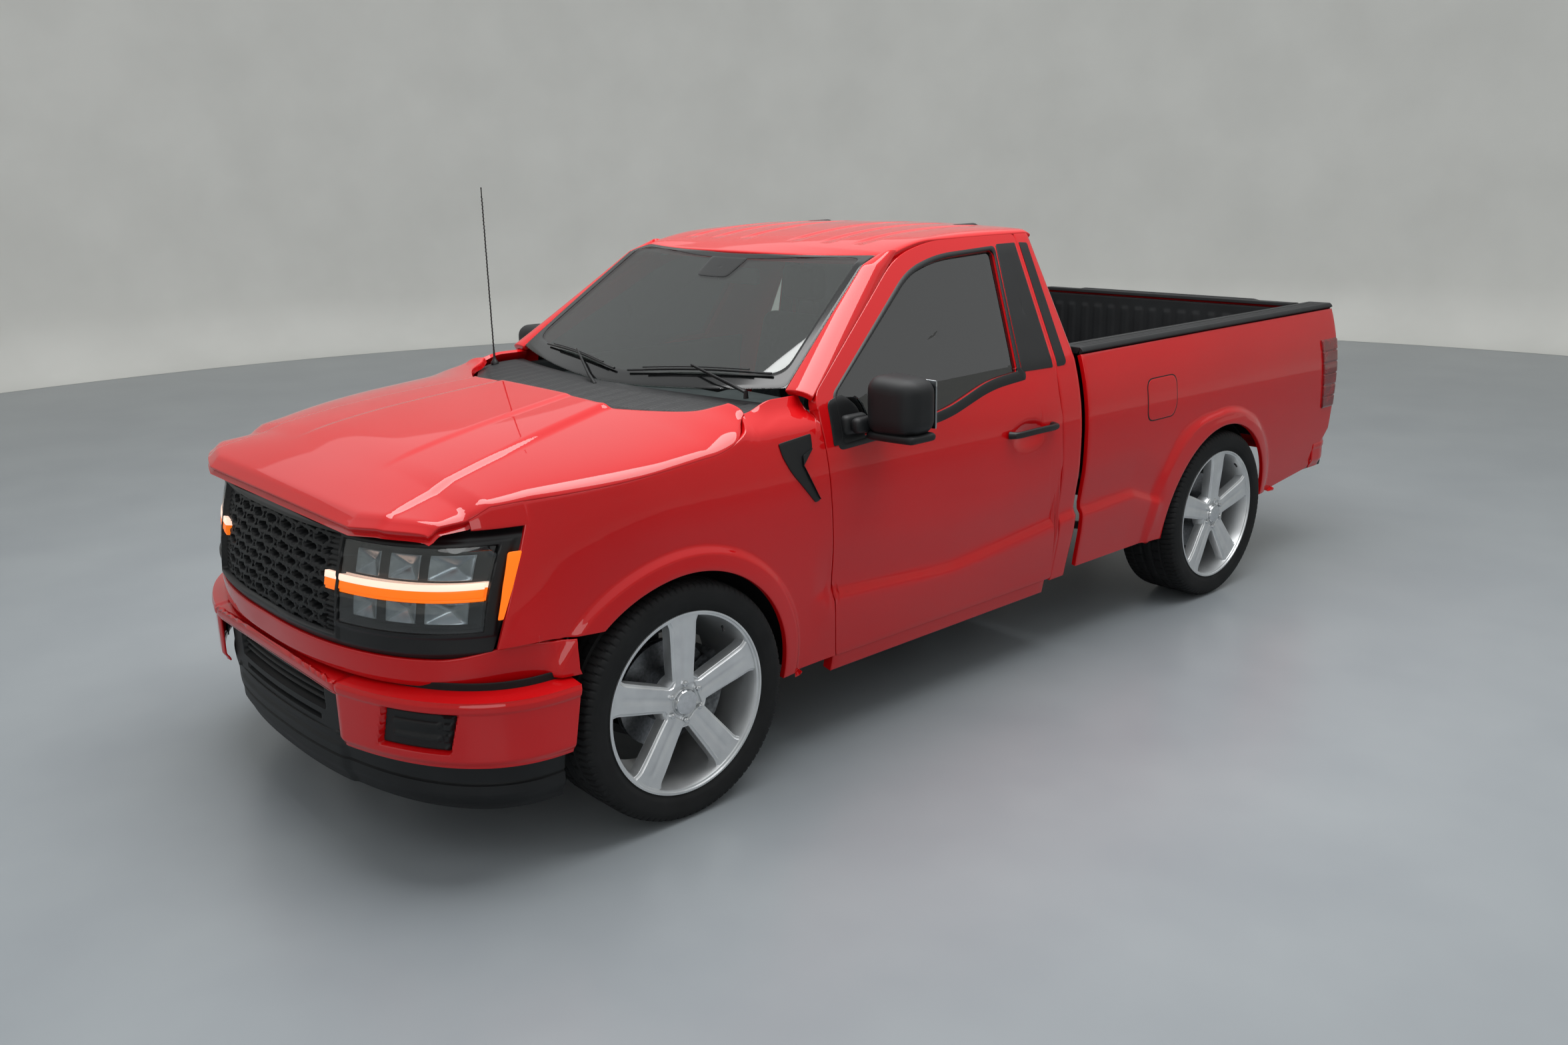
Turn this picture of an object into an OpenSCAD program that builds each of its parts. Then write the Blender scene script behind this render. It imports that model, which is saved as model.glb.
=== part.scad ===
/* [Overall sizes] */
// Distance between the front and rear axles
wheelbase = 3119; // [2900:1:3400]
// From the foremost point of the bumper to the front axle
front_overhang = 945; // [930:1:1000]
// From the end of the bed to the rearmost point of the rear bumper
bumper_reach = 251; // [200:1:320]
// Half of the body width at the doors, at its widest height
side_max = 997; // [960:1:1040]
// Distance between the centres of the left and right tyres
track = 1717; // [1640:1:1760]
// Highest point of the roof skin above the ground
roof_z = 1758; // [1730:1:1900]

/* [Wheels] */
// Outer radius of a tyre
tyre_r = 390; // [378:1:398]
// Width of a tyre across its sidewalls
tyre_w = 285; // [255:1:300]
// Height of the tyre's sidewall, from the wheel's flange to the tread
sidewall = 93; // [85:1:110]
// Thickness of the rim barrel
barrel_wall = 12; // [8:1:18]
// Thickness of a wheel spoke, along the axle
spoke_t = 40; // [30:1:55]
// Width of a spoke where it leaves the hub
spoke_w_hub = 66; // [50:1:80]
// Width of a spoke where it meets the barrel
spoke_w_rim = 98; // [70:1:130]
// Radius of the wheel hub
hub_r = 84; // [75:1:100]
// Radius of a stub axle
spindle_r = 30; // [22:1:38]
// Clearance between a stub axle and the wheel bore
bore_gap = 1; // [0.5:0.1:2]
// Room around a brake disc for its caliper, up to the wheel's flange
caliper_room = 122; // [115:1:140]
// Thickness of a brake disc
disc_t = 26; // [20:1:32]

/* [Steering] */
// Distance from the centre plane to each kingpin
kingpin_x = 790; // [770:1:800]
// Radius of the ball stud at each end of a knuckle
stud_r = 10; // [8:1:14]
// Outer radius of the steering wheel, to the middle of its rim
steering_r = 180; // [160:1:200]

/* [Wheel arches] */
// Room between a tyre and its wheel opening in the body side
arch_gap = 40; // [30:1:60]
// Width of the raised lip around a wheel opening
lip_w = 46; // [30:1:60]
// How far the lip stands out of the body side
lip_out = 17; // [8:1:24]
// Room between a front tyre and its liner, enough to steer in
front_liner_gap = 80; // [65:1:90]
// Room between a rear tyre and its liner
rear_liner_gap = 50; // [40:1:60]
// Thickness of a liner
liner_t = 6; // [4:1:10]

/* [Body heights] */
// Lowest edge of the doors and fenders
sill_z = 345; // [320:1:370]
// Height of the belt, where the glass begins
belt_z = 1240; // [1200:1:1270]
// Top of the cab floor
floor_z = 500; // [490:1:520]
// Top of the bed floor
bed_floor_z = 735; // [720:1:760]
// Height of the painted edge of the bedsides
rail_z = 1245; // [1230:1:1270]
// Thickness of the rail caps
cap_t = 30; // [20:1:40]

/* [Panels] */
// Gap between neighbouring panels
panel_gap = 6; // [5.2:0.1:9]
// Thickness of the fenders and bedsides
skin_t = 24; // [15:1:28]
// Thickness of a door below the belt
door_t = 85; // [60:1:110]
// Thickness of a door frame above the belt
frame_t = 48; // [35:1:60]
// Thickness of the hood with its inner frame
hood_t = 28; // [20:1:40]
// Thickness of the cab walls
cab_wall = 50; // [35:1:60]
// Thickness of the door glass
glass_t = 5; // [4:1:8]
// Thickness of the tailgate
tailgate_t = 75; // [50:1:90]

/* [Bed] */
// Inside length of the bed
bed_l = 2004; // [1900:1:2200]
// From the inside of the bed's front wall to the rear axle
bed_ahead = 1009; // [960:1:1100]
// Inside width of the bed
bed_w = 1656; // [1560:1:1700]
// Width between the wheelhouses
wheelhouse_w = 1285; // [1220:1:1300]
// Room between a rear liner and the wheelhouse over it
wheelhouse_gap = 106; // [60:1:140]
// Width of the tailgate opening
tailgate_w = 1532; // [1480:1:1560]
// Thickness of the bed walls and floor
bed_wall = 18; // [12:1:24]

/* [Chassis] */
// Distance from the centre plane to the middle of a frame rail
rail_x = 458; // [440:1:470]
// Width of a frame rail
rail_w = 74; // [60:1:90]
// Height of a frame rail
rail_h = 140; // [120:1:160]
// Radius of the rear axle tube
axle_r = 44; // [36:1:50]
// Radius of the propeller shaft
shaft_r = 45; // [35:1:50]
// Radius of the exhaust pipe
pipe_r = 32; // [25:1:36]
// Radius of the towing ball hole in the rear bumper
ball_hole_r = 12.7; // [10:0.1:17]
// Distance between the two screws of a licence plate
plate_pitch = 177.8; // [150:0.1:200]
// Radius of a licence plate screw hole
plate_hole_r = 3.5; // [2.5:0.1:4]

/* [Hidden] */
$fn = 72;

paint = "#d8141c";
black_plastic = "#1c1d1f";
steel = "#4a4c50";
rear_overhang = bed_l - bed_ahead + bumper_reach;
front_axle = -(wheelbase + front_overhang + rear_overhang) / 2 + front_overhang;
rear_axle_y = front_axle + wheelbase;
wheel_z = tyre_r;
wheel_x = track / 2;
flange_r = tyre_r - sidewall;
disc_r = flange_r - caliper_room;
arch_r = tyre_r + arch_gap;
front_liner_r = tyre_r + front_liner_gap;
rear_liner_r = tyre_r + rear_liner_gap;
nose_y = front_axle - front_overhang;
tail_y = rear_axle_y + rear_overhang;

// Stations of the bed and the back of the cab, which follow the rear axle
bed_in = rear_axle_y - bed_ahead;
bed_front = bed_in - 45;
bed_end = bed_in + bed_l;
cab_back = bed_front - 30;
door_rear = cab_back - 155;

// Stations that follow the front axle
door_front = front_axle + 610;
hood_back = front_axle + 365;
hood_mid_back = front_axle + 120;
nose_start = front_axle - 435;
taper_start = front_axle - 40;
shield_foot = front_axle + 410;

// ---- Body surface -------------------------------------------------------

widest_z = 930;
// Half width of the body side at height z: two arcs below the belt, and a plane
// that leans inwards above it
function side_x(z) = z > belt_z
    ? side_x(belt_z) - 0.53 * (z - belt_z)
    : z > widest_z
        ? side_max - pow(z - widest_z, 2) / 1900
        : side_max - pow(widest_z - z, 2) / 6000;

// Half width at station y: the side draws in ahead of the front axle
function taper(z) = 3.1e-4 + 2.9e-4 * (z - 700) / 340;
function wall_x(y, z) = y > taper_start ? side_x(z)
    : side_x(z) - taper(z) * pow(taper_start - y, 2);

// The nose turns across the front in a rounded corner
nose_power = 2.5;
function nose_centre(z) = nose_y + 38 + 72 * pow((z - 640) / 400, 2);
function nose_half(z) = wall_x(nose_start, z);
function nose_point(u, z, back) =
    let (w = nose_half(z) - back, d = nose_start - nose_centre(z) - back)
    [w * pow(abs(cos(u)), 2 / nose_power) * (cos(u) < 0 ? -1 : 1),
     nose_start - d * pow(abs(sin(u)), 2 / nose_power)];

// Raised lip around a wheel opening
function lip(y, z, axle) =
    let (r = sqrt(pow(y - axle, 2) + pow(z - wheel_z, 2)))
    lip_out * max(0, min(1, (arch_r + lip_w + 18 - r) / 18));

// Hood surface: s runs from the centre to the side cut
hood_edge = 880;
hood_corner = front_axle - 608;
function hood_centre_z(y) =
    let (d = (hood_mid_back - y) / 955)
    1255 - 105 * d - 86 * pow(max(0, d), 4);
function cut_z(y) =
    let (d = y - front_axle)
    d < -545 ? 1068 + 0.55 * (d + 608)
    : d < 100 ? 1103 + 0.074 * (d + 545)
    : 1151 + 1.1e-3 * pow(d - 100, 2);
function hood_half(y) = y < hood_corner ? hood_edge
    : min(wall_x(y, cut_z(y)), hood_edge + 0.6 * (y - hood_corner));
function hood_z(s, y) = cut_z(y)
    + (hood_centre_z(y) - cut_z(y)) * pow(1 - pow(abs(s), 3), 0.6);
function hood_rear(s) =
    let (a = abs(s))
    hood_mid_back + 245 * pow(max(0, min(1, (a - 0.4) / 0.5)), 1.3)
    - 110 * pow(max(0, (a - 0.88) / 0.12), 2);
function hood_front(s) =
    let (x = hood_edge * abs(s), w = 895)
    max(nose_start - 395 * pow(1 - pow(x / w, nose_power), 1 / nose_power), nose_y + 110);

// ---- Helpers ------------------------------------------------------------

module both_sides() {
    children();
    mirror([1, 0, 0]) children();
}

// Closed shell between two grids of points with the same rows and columns
module shell(outer, inner) {
    rows = len(outer);
    cols = len(outer[0]);
    k = rows * cols;
    points = concat([for (row = outer) each row], [for (row = inner) each row]);
    faces = concat(
        [for (i = [0:rows - 2], j = [0:cols - 2])
            [i * cols + j, i * cols + j + 1, (i + 1) * cols + j + 1, (i + 1) * cols + j]],
        [for (i = [0:rows - 2], j = [0:cols - 2])
            [k + i * cols + j, k + (i + 1) * cols + j,
             k + (i + 1) * cols + j + 1, k + i * cols + j + 1]],
        [for (i = [0:rows - 2]) each [
            [i * cols, (i + 1) * cols, k + (i + 1) * cols, k + i * cols],
            [i * cols + cols - 1, k + i * cols + cols - 1,
             k + (i + 1) * cols + cols - 1, (i + 1) * cols + cols - 1]]],
        [for (j = [0:cols - 2]) each [
            [j, k + j, k + j + 1, j + 1],
            [(rows - 1) * cols + j, (rows - 1) * cols + j + 1,
             k + (rows - 1) * cols + j + 1, k + (rows - 1) * cols + j]]]);
    polyhedron(points, faces, convexity = 6);
}

// Solid whose section stays the same along the truck, from y0 to y1
module along(y0, y1) {
    translate([0, y1, 0]) rotate([90, 0, 0]) linear_extrude(y1 - y0) children();
}

// Solid cut out of an outline of y and z, from x0 to x1
module across(x0, x1) {
    translate([x0, 0, 0]) rotate([90, 0, 90]) linear_extrude(x1 - x0) children();
}

// Slab that follows the body side, between two depths below its surface
slab_heights = [for (i = [0:24]) 300 + i * (belt_z - 300) / 24];
module side_slab(y0, y1, near, far, top) {
    heights = [for (z = slab_heights) if (z < top - 1) z];
    full = concat(heights, [top]);
    along(y0, y1) polygon(concat(
        [for (z = full) [side_x(z) - near, z]],
        [for (i = [len(full) - 1:-1:0]) [side_x(full[i]) - far, full[i]]]));
}

// Plan outline of the nose at height z, a band from one depth to another
module nose_band(z, near, far, from = 0, to = 180) {
    steps = 28;
    angles = [for (i = [0:steps]) from + (to - from) * i / steps];
    polygon(concat([for (u = angles) nose_point(u, z, near)],
        [for (i = [steps:-1:0]) nose_point(angles[i], z, far)]));
}

// ---- Chassis ------------------------------------------------------------

rail_low = 330;
rail_front_lift = 95;
rail_rear_lift = 215;
module rail_outline() {
    front = front_axle - 700;
    polygon([[front, rail_low + rail_front_lift],
        [front_axle + 330, rail_low + rail_front_lift], [front_axle + 510, rail_low],
        [rear_axle_y - 640, rail_low], [rear_axle_y - 440, rail_low + rail_rear_lift],
        [bed_end + 10, rail_low + rail_rear_lift],
        [bed_end + 10, rail_low + rail_rear_lift + rail_h],
        [rear_axle_y - 470, rail_low + rail_rear_lift + rail_h],
        [rear_axle_y - 670, rail_low + rail_h], [front_axle + 540, rail_low + rail_h],
        [front_axle + 360, rail_low + rail_front_lift + rail_h],
        [front, rail_low + rail_front_lift + rail_h]]);
}

module crossmember(y, z, depth, height) {
    translate([-rail_x, y - depth / 2, z]) cube([2 * rail_x, depth, height]);
}

spring_x = 590;
spring_reach = 680;
module frame() color(steel) {
    difference() {
        union() {
            both_sides() across(rail_x - rail_w / 2, rail_x + rail_w / 2) rail_outline();
            crossmember(front_axle - 640, rail_low + rail_front_lift + 10, 70, 110);
            crossmember(front_axle, 300, 210, 60);
            both_sides() translate([rail_x - 32, front_axle - 105, 300]) cube([64, 210, 180]);
            crossmember(front_axle + 1010, rail_low + 8, 90, 30);
            crossmember(rear_axle_y - 560, rail_low + 130, 60, 60);
            crossmember(rear_axle_y - 30, rail_low + rail_rear_lift + 60, 90, 60);
            crossmember(bed_end - 60, rail_low + rail_rear_lift + 40, 90, 80);
            // hangers that hold the leaf spring eyes
            both_sides() for (end = [-1, 1])
                translate([rail_x + rail_w / 2 - 1, rear_axle_y + end * spring_reach - 35, 385])
                    cube([spring_x - 36 - rail_x - rail_w / 2, 70, 220]);
            // receiver for a towing bar
            translate([-38, bed_end - 80, 400]) cube([76, 190, 76]);
            translate([-38, bed_end - 80, 470]) cube([76, 60, 120]);
        }
        translate([-25.4, bed_end - 60, 412.6]) cube([50.8, 200, 50.8]);
    }
}

module engine() color("#5c5e60")
    translate([-250, front_axle - 380, 470]) cube([500, 690, 520]);

gearbox_z = 440;
gearbox_end = front_axle + 930;
diff_r = 145;
module driveline() color("#6a6c6e") {
    translate([0, front_axle + 312, gearbox_z]) rotate([-90, 0, 0]) {
        cylinder(h = 260, r1 = 165, r2 = 130);
        translate([0, 0, 260]) cylinder(h = 318, r1 = 130, r2 = 85);
        translate([0, 0, 570]) cylinder(h = 52, r = 58);
    }
    reach = rear_axle_y - diff_r - 24 - gearbox_end;
    translate([0, gearbox_end, gearbox_z])
        rotate([-90 - atan((gearbox_z - wheel_z) / reach), 0, 0])
            cylinder(h = reach / cos(atan((gearbox_z - wheel_z) / reach)), r = shaft_r);
}

pipe_x = -310;
module exhaust() color("#77797c") {
    translate([pipe_x, front_axle + 500, 288]) rotate([-90, 0, 0])
        cylinder(h = bed_end - 60 - front_axle - 500, r = pipe_r);
    translate([pipe_x - 95, door_rear, 228]) rotate([-90, 0, 0]) linear_extrude(620)
        translate([95, -12]) square([190, 90], center = true);
}

module fuel_tank() color(black_plastic)
    translate([90, front_axle + 1180, 300]) cube([300, 1180, 160]);

module rear_axle() color(steel) {
    translate([0, rear_axle_y, wheel_z]) {
        rotate([0, 90, 0]) cylinder(h = 2 * (wheel_x - 110), r = axle_r, center = true);
        rotate([0, 90, 0]) cylinder(h = 170, r = diff_r, center = true);
        translate([0, -diff_r - 22, 0]) rotate([-90, 0, 0]) cylinder(h = 82, r = 52);
        both_sides() {
            translate([wheel_x - 112, 0, 0]) rotate([0, 90, 0]) cylinder(h = 24, r = 74);
            translate([wheel_x - 90, 0, 0]) rotate([0, 90, 0])
                cylinder(h = 118, r = spindle_r);
        }
    }
    // leaf springs, arcs that run below the axle, with a rolled eye at each end
    sag = 110;
    arc_r = (pow(spring_reach, 2) + sag * sag) / (2 * sag);
    half = asin(spring_reach / arc_r);
    low = wheel_z - axle_r - 46;
    both_sides() {
        across(spring_x - 32, spring_x + 32) translate([rear_axle_y, low + arc_r]) {
            difference() {
                circle(r = arc_r + 15, $fn = 360);
                circle(r = arc_r - 15, $fn = 360);
                translate([-2 * arc_r, -arc_r + sag]) square([4 * arc_r, 4 * arc_r]);
            }
        }
        for (end = [-1, 1]) across(spring_x - 32, spring_x + 32)
            translate([rear_axle_y + end * spring_reach, low + sag]) circle(r = 32);
        translate([spring_x - 46, rear_axle_y - 62, low - 24]) cube([92, 124, 76]);
        // shock absorbers
        translate([spring_x - 70, rear_axle_y + 95, low - 4]) cylinder(h = 190, r = 26);
        translate([spring_x - 82, rear_axle_y, low]) cube([24, 95, 28]);
    }
}

knuckle_top = wheel_z + 155;
knuckle_low = wheel_z - 140;
module arm(inner_x, z, thick, spread) {
    difference() {
        hull() {
            translate([kingpin_x, front_axle, z]) cylinder(h = thick, r = 34, $fn = 32);
            for (dy = [-spread, spread])
                translate([inner_x, front_axle + dy, z]) cylinder(h = thick, r = 26, $fn = 32);
        }
        translate([kingpin_x, front_axle, z - 1]) cylinder(h = thick + 2, r = stud_r + 2);
        translate([(inner_x + kingpin_x) / 2 - 60, front_axle, z - 1])
            cylinder(h = thick + 2, r = spread * 0.42);
    }
}

module front_suspension() color(steel) both_sides() {
    arm(rail_x + rail_w / 2 + 30, knuckle_top + 8, 26, 120);
    arm(300, knuckle_low - 36, 30, 150);
    // coil springs over dampers stand on the lower arms
    translate([640, front_axle, knuckle_low - 5]) cylinder(h = 295, r = 46);
}

module spare_wheel() color("#26272a") translate([0, bed_end - 435, 388]) {
    cylinder(h = 60, r = 190);
    difference() {
        cylinder(h = 150, r = 345);
        translate([0, 0, -1]) cylinder(h = 152, r = 205);
    }
    translate([0, 0, 60]) difference() {
        cylinder(h = 20, r = 210);
        translate([0, 0, -1]) cylinder(h = 22, r = 60);
    }
}

// ---- Wheels and knuckles ------------------------------------------------

bead_r = flange_r - 16;
rim_half = tyre_w / 2 - 8;
module tyre_shape() rotate([0, 90, 0]) rotate_extrude($fn = 120) polygon([
    [bead_r + 1, -rim_half + 9], [flange_r, -rim_half + 9], [flange_r + 3, -rim_half + 3],
    [flange_r + 22, -tyre_w / 2 + 2], [flange_r + 42, -tyre_w / 2],
    [tyre_r - 20, -tyre_w / 2 + 5], [tyre_r - 6, -tyre_w / 2 + 14], [tyre_r, -tyre_w / 2 + 34],
    [tyre_r, tyre_w / 2 - 34], [tyre_r - 6, tyre_w / 2 - 14], [tyre_r - 20, tyre_w / 2 - 5],
    [flange_r + 42, tyre_w / 2], [flange_r + 22, tyre_w / 2 - 2], [flange_r + 3, rim_half - 3],
    [flange_r, rim_half - 9], [bead_r + 1, rim_half - 9]]);

// Outline of the wheel face: hub, five spokes and the ring that they meet
module wheel_face() {
    circle(r = hub_r);
    for (turn = [0:4]) rotate(90 + turn * 72)
        polygon([[0, -spoke_w_hub / 2], [hub_r, -spoke_w_hub / 2],
            [bead_r - 6, -spoke_w_rim / 2], [bead_r - 6, spoke_w_rim / 2],
            [hub_r, spoke_w_hub / 2], [0, spoke_w_hub / 2]]);
}

// A wheel whose outer face looks along +X, with its brake disc
disc_x = -18;
module rim_shape() {
    bore = spindle_r + bore_gap;
    difference() {
        union() {
            rotate([0, 90, 0]) rotate_extrude($fn = 120) polygon([
                [bead_r - barrel_wall, -rim_half], [flange_r, -rim_half],
                [flange_r, -rim_half + 8], [bead_r, -rim_half + 8],
                [bead_r, rim_half - 8], [flange_r, rim_half - 8],
                [flange_r, rim_half], [bead_r - barrel_wall, rim_half]]);
            translate([rim_half - spoke_t - 10, 0, 0]) rotate([90, 0, 90])
                linear_extrude(spoke_t) wheel_face();
            translate([disc_x, 0, 0]) rotate([0, 90, 0]) {
                cylinder(h = disc_t, r = disc_r);
                cylinder(h = rim_half - spoke_t - 8 - disc_x, r = hub_r - 4);
            }
        }
        translate([disc_x - 1, 0, 0]) rotate([0, 90, 0]) cylinder(h = 60, r = bore);
    }
}

module wheel_place(side, y) translate([side * wheel_x, y, wheel_z])
    mirror([side < 0 ? 1 : 0, 0, 0]) children();

// Knuckle with its stub axle, ball studs and brake caliper
module knuckle_shape() color(steel) {
    translate([kingpin_x, front_axle, knuckle_low]) {
        cylinder(h = knuckle_top - knuckle_low, r = 24);
        translate([0, 0, -28]) cylinder(h = knuckle_top - knuckle_low + 56, r = stud_r);
    }
    translate([kingpin_x - 22, front_axle, wheel_z]) rotate([0, 90, 0]) cylinder(h = 62, r = 66);
    translate([kingpin_x, front_axle, wheel_z]) rotate([0, 90, 0])
        cylinder(h = wheel_x + disc_x + 50 - kingpin_x, r = spindle_r);
    // steering arm
    translate([kingpin_x - 46, front_axle - 130, wheel_z - 40]) cube([34, 130, 26]);
    // caliper that straddles the disc, carried by a bracket
    difference() {
        translate([kingpin_x + 16, front_axle, wheel_z]) rotate([0, 90, 0])
            rotate([0, 0, 54]) rotate_extrude(angle = 66, $fn = 96) translate([118, 0])
                square([disc_r - 118 + 34, wheel_x + disc_x + disc_t + 30 - kingpin_x - 16]);
        translate([wheel_x + disc_x - 6, front_axle, wheel_z]) rotate([0, 90, 0])
            cylinder(h = disc_t + 12, r = disc_r + 6);
    }
    translate([kingpin_x + 14, front_axle, wheel_z - 16]) cube([22, 124, 34]);
}

// ---- Cab ----------------------------------------------------------------

shield_top = front_axle + 1070;
function roof_line(y) = y < shield_top
    ? roof_line(shield_top) + 0.667 * (y - shield_top)
    : roof_z - 83 * pow((y - shield_top - 700) / 700, 2);
// Height of the upper edge of the cab side
function side_top(y) =
    let (corner = shield_top + 109, y1 = corner + 270)
    y < corner ? roof_z - 87 + 0.68 * (y - corner)
    : y < y1 ? roof_z - 87 + 38 * sin(90 * (y - corner) / (y1 - corner))
    : roof_z - 49 + 6 * (y - y1) / 600;

// Section of the cab at station y, drawn in by d all round
function cab_section(y, d, base) =
    let (ze = side_top(y) - d * 0.8, zc = roof_line(y) - d * 0.8,
        xe = side_x(ze) - d,
        lows = [base, 450, 600, 760, 930, 1060, 1160, belt_z - 1],
        right = concat([for (z = lows) if (z > base - 1) [side_x(z) - d, z]],
            [for (i = [0:4]) let (z = belt_z + (ze - belt_z) * (i + 1) / 5)
                [side_x(z) - d, z]],
            [for (i = [1:7]) let (s = 1 - i / 7)
                [xe * s, zc - (zc - ze) * pow(s, 2.4)]]))
    concat(right, [for (i = [len(right) - 2:-1:0]) [-right[i][0], right[i][1]]]);

// Solid through a list of closed sections, one at each station. Each section is
// symmetric, with its middle point on the centre plane
module loft(stations, sections) {
    n = len(sections[0]);
    m = len(stations);
    polyhedron([for (i = [0:m - 1], p = sections[i]) [p[0], stations[i], p[1]]],
        concat(
            [for (j = [0:(n - 5) / 2]) [n - 1 - j, n - 2 - j, j + 1, j]],
            [[(n + 1) / 2, (n - 1) / 2, (n - 3) / 2]],
            [for (j = [0:(n - 5) / 2]) let (k = (m - 1) * n)
                [k + j, k + j + 1, k + n - 2 - j, k + n - 1 - j]],
            [let (k = (m - 1) * n) [k + (n - 3) / 2, k + (n - 1) / 2, k + (n + 1) / 2]],
            [for (i = [0:m - 2], j = [0:n - 1])
                let (k = (j + 1) % n)
                [i * n + k, (i + 1) * n + k, (i + 1) * n + j, i * n + j]]),
        convexity = 6);
}

cab_front = front_axle + 590;
function cab_stations(a, b) = [for (i = [0:11]) a + (b - a) * i / 11];

// Outline of the door in y and z, grown by g
function door_outline(g) = [
    [door_front + 82 - g, sill_z - g], [door_front + 42 - g, 560],
    [door_front + 6 - g, belt_z - 60], [door_front + 6 - g, belt_z + 30],
    [door_front + 68 - g, belt_z + 96 + g], [door_front + 332 - g, belt_z + 284 + g],
    [door_front + 560, side_top(door_front + 560) - 32 + g],
    [door_front + 660, side_top(door_front + 660) - 26 + g],
    [door_front + 820, side_top(door_front + 820) - 24 + g],
    [door_rear + 44 + g, side_top(door_rear + 44) - 24 + g],
    [door_rear + g, belt_z - 30], [door_rear - 4 + g, 660], [door_rear + 40 + g, sill_z - g]];

module shield_plan(inset) {
    polygon([[-818 + inset, shield_foot + 172], [-420, shield_foot + 60],
        [0, shield_foot + 8 + inset], [420, shield_foot + 60],
        [818 - inset, shield_foot + 172], [674 - inset, shield_top + 100 - inset],
        [340, shield_top + 26 - inset], [0, shield_top + 4 - inset],
        [-340, shield_top + 26 - inset], [-674 + inset, shield_top + 100 - inset]]);
}

module back_window(grow) {
    polygon([[-690 - grow, belt_z + 50 - grow], [690 + grow, belt_z + 50 - grow],
        [590 + grow, roof_z - 120 + grow], [-590 - grow, roof_z - 120 + grow]]);
}

pillar_out = 880;
tunnel_half = 190;
tunnel_top = 630;
module cab() color(paint) difference() {
    union() {
        difference() {
            loft(cab_stations(cab_front, cab_back),
                [for (y = cab_stations(cab_front, cab_back)) cab_section(y, 0, sill_z - 20)]);
            loft(cab_stations(cab_front + 40, cab_back - cab_wall),
                [for (y = cab_stations(cab_front + 40, cab_back - cab_wall))
                    cab_section(y, cab_wall, floor_z)]);
        }
        along(cab_front + 20, cab_back - cab_wall + 1) polygon([[-tunnel_half, floor_z - 20],
            [-tunnel_half + 30, tunnel_top], [tunnel_half - 30, tunnel_top],
            [tunnel_half, floor_z - 20]]);
        both_sides() translate([pillar_out - 45, cab_front, floor_z - 20])
            cube([45, 60, belt_z - floor_z]);
    }
    // hollow under the floor, and through the tunnel
    translate([-835, cab_front - 50, 300]) cube([1670, cab_back - cab_front + 100, floor_z - 320]);
    along(cab_front - 10, cab_back + 10) polygon([[-tunnel_half + 18, floor_z - 30],
        [-tunnel_half + 45, tunnel_top - 18], [tunnel_half - 45, tunnel_top - 18],
        [tunnel_half - 18, floor_z - 30]]);
    // the fenders stand outside the foot of the front pillars
    both_sides() across(pillar_out, 1100) polygon([[cab_front - 50, 300],
        [door_front + 88, 300], [door_front + 88, sill_z], [door_front + 48, 560],
        [door_front + 12, belt_z - 60], [door_front + 12, belt_z + 20],
        [cab_front - 50, belt_z + 20]]);
    both_sides() across(560, 1100) polygon(door_outline(panel_gap + 2));
    translate([0, 0, belt_z - 10]) linear_extrude(600) shield_plan(0);
    translate([0, cab_back + 20, 0]) rotate([90, 0, 0]) linear_extrude(120) back_window(0);
}

module cab_glass() color("#2a3236") {
    intersection() {
        translate([0, 0, belt_z - 100]) linear_extrude(700) shield_plan(3);
        shell([for (i = [10:-1:0]) [for (j = [-8:8]) shield_point(i / 10, j / 8, 0)]],
            [for (i = [10:-1:0]) [for (j = [-8:8]) shield_point(i / 10, j / 8, 9)]]);
    }
    translate([0, cab_back - 20, 0]) rotate([90, 0, 0]) linear_extrude(6) back_window(-3);
}
function shield_z(s, y) =
    let (foot = roof_line(y) - 4, drop = 84 - 56 * (y - shield_foot) / (shield_top - shield_foot))
    min(foot - drop * s * s, roof_line(y) - 4);

function shield_point(t, s, depth) =
    let (y = shield_foot + (shield_top + 110 - shield_foot) * t)
    [s * 860, y, shield_z(s, y) - depth];

seat_x = 385;
module seats() color("#3a3b3e") for (side = [-1, 1]) translate([side * seat_x, door_front, 0]) {
    translate([-245, 520, floor_z + 135]) cube([490, 520, 175]);
    translate([-180, 530, floor_z]) cube([360, 420, 134]);
    translate([0, 1045, floor_z + 315]) rotate([-14, 0, 0]) translate([-235, -60, 0])
        cube([470, 130, 560]);
    translate([0, 1198, floor_z + 900]) translate([-125, -60, 0]) cube([250, 95, 165]);
}

dash_top = 1168;
module dashboard() color("#2b2d30") {
    along_x = 830;
    across(-along_x, along_x) polygon([[door_front + 40, dash_top - 10],
        [door_front + 40, 880], [door_front + 300, 800], [door_front + 340, 880],
        [door_front + 330, dash_top - 60], [door_front + 240, dash_top]]);
}

column_tilt = 24;
column_x = 372;
column_y = door_front + 540;
column_z = 1085;
module steering_wheel() color("#202124")
    translate([column_x, column_y, column_z]) rotate([-90 + column_tilt, 0, 0]) {
        rotate_extrude($fn = 72) translate([steering_r, 0]) circle(r = 15);
        translate([0, 0, -22]) cylinder(h = 30, r = 62);
        for (turn = [0, 90, 180]) rotate(turn) translate([0, -16, -12]) cube([steering_r, 32, 12]);
        translate([0, 0, -205]) cylinder(h = 190, r = 22);
    }

// ---- Front of the body --------------------------------------------------

// Stations along a fender, closer together around the wheel opening
function arch_low(y) =
    let (d = abs(y - front_axle))
    d < arch_r ? wheel_z + sqrt(arch_r * arch_r - d * d) : sill_z;
fender_front = front_axle - 455;
seam_z = 706;
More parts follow.
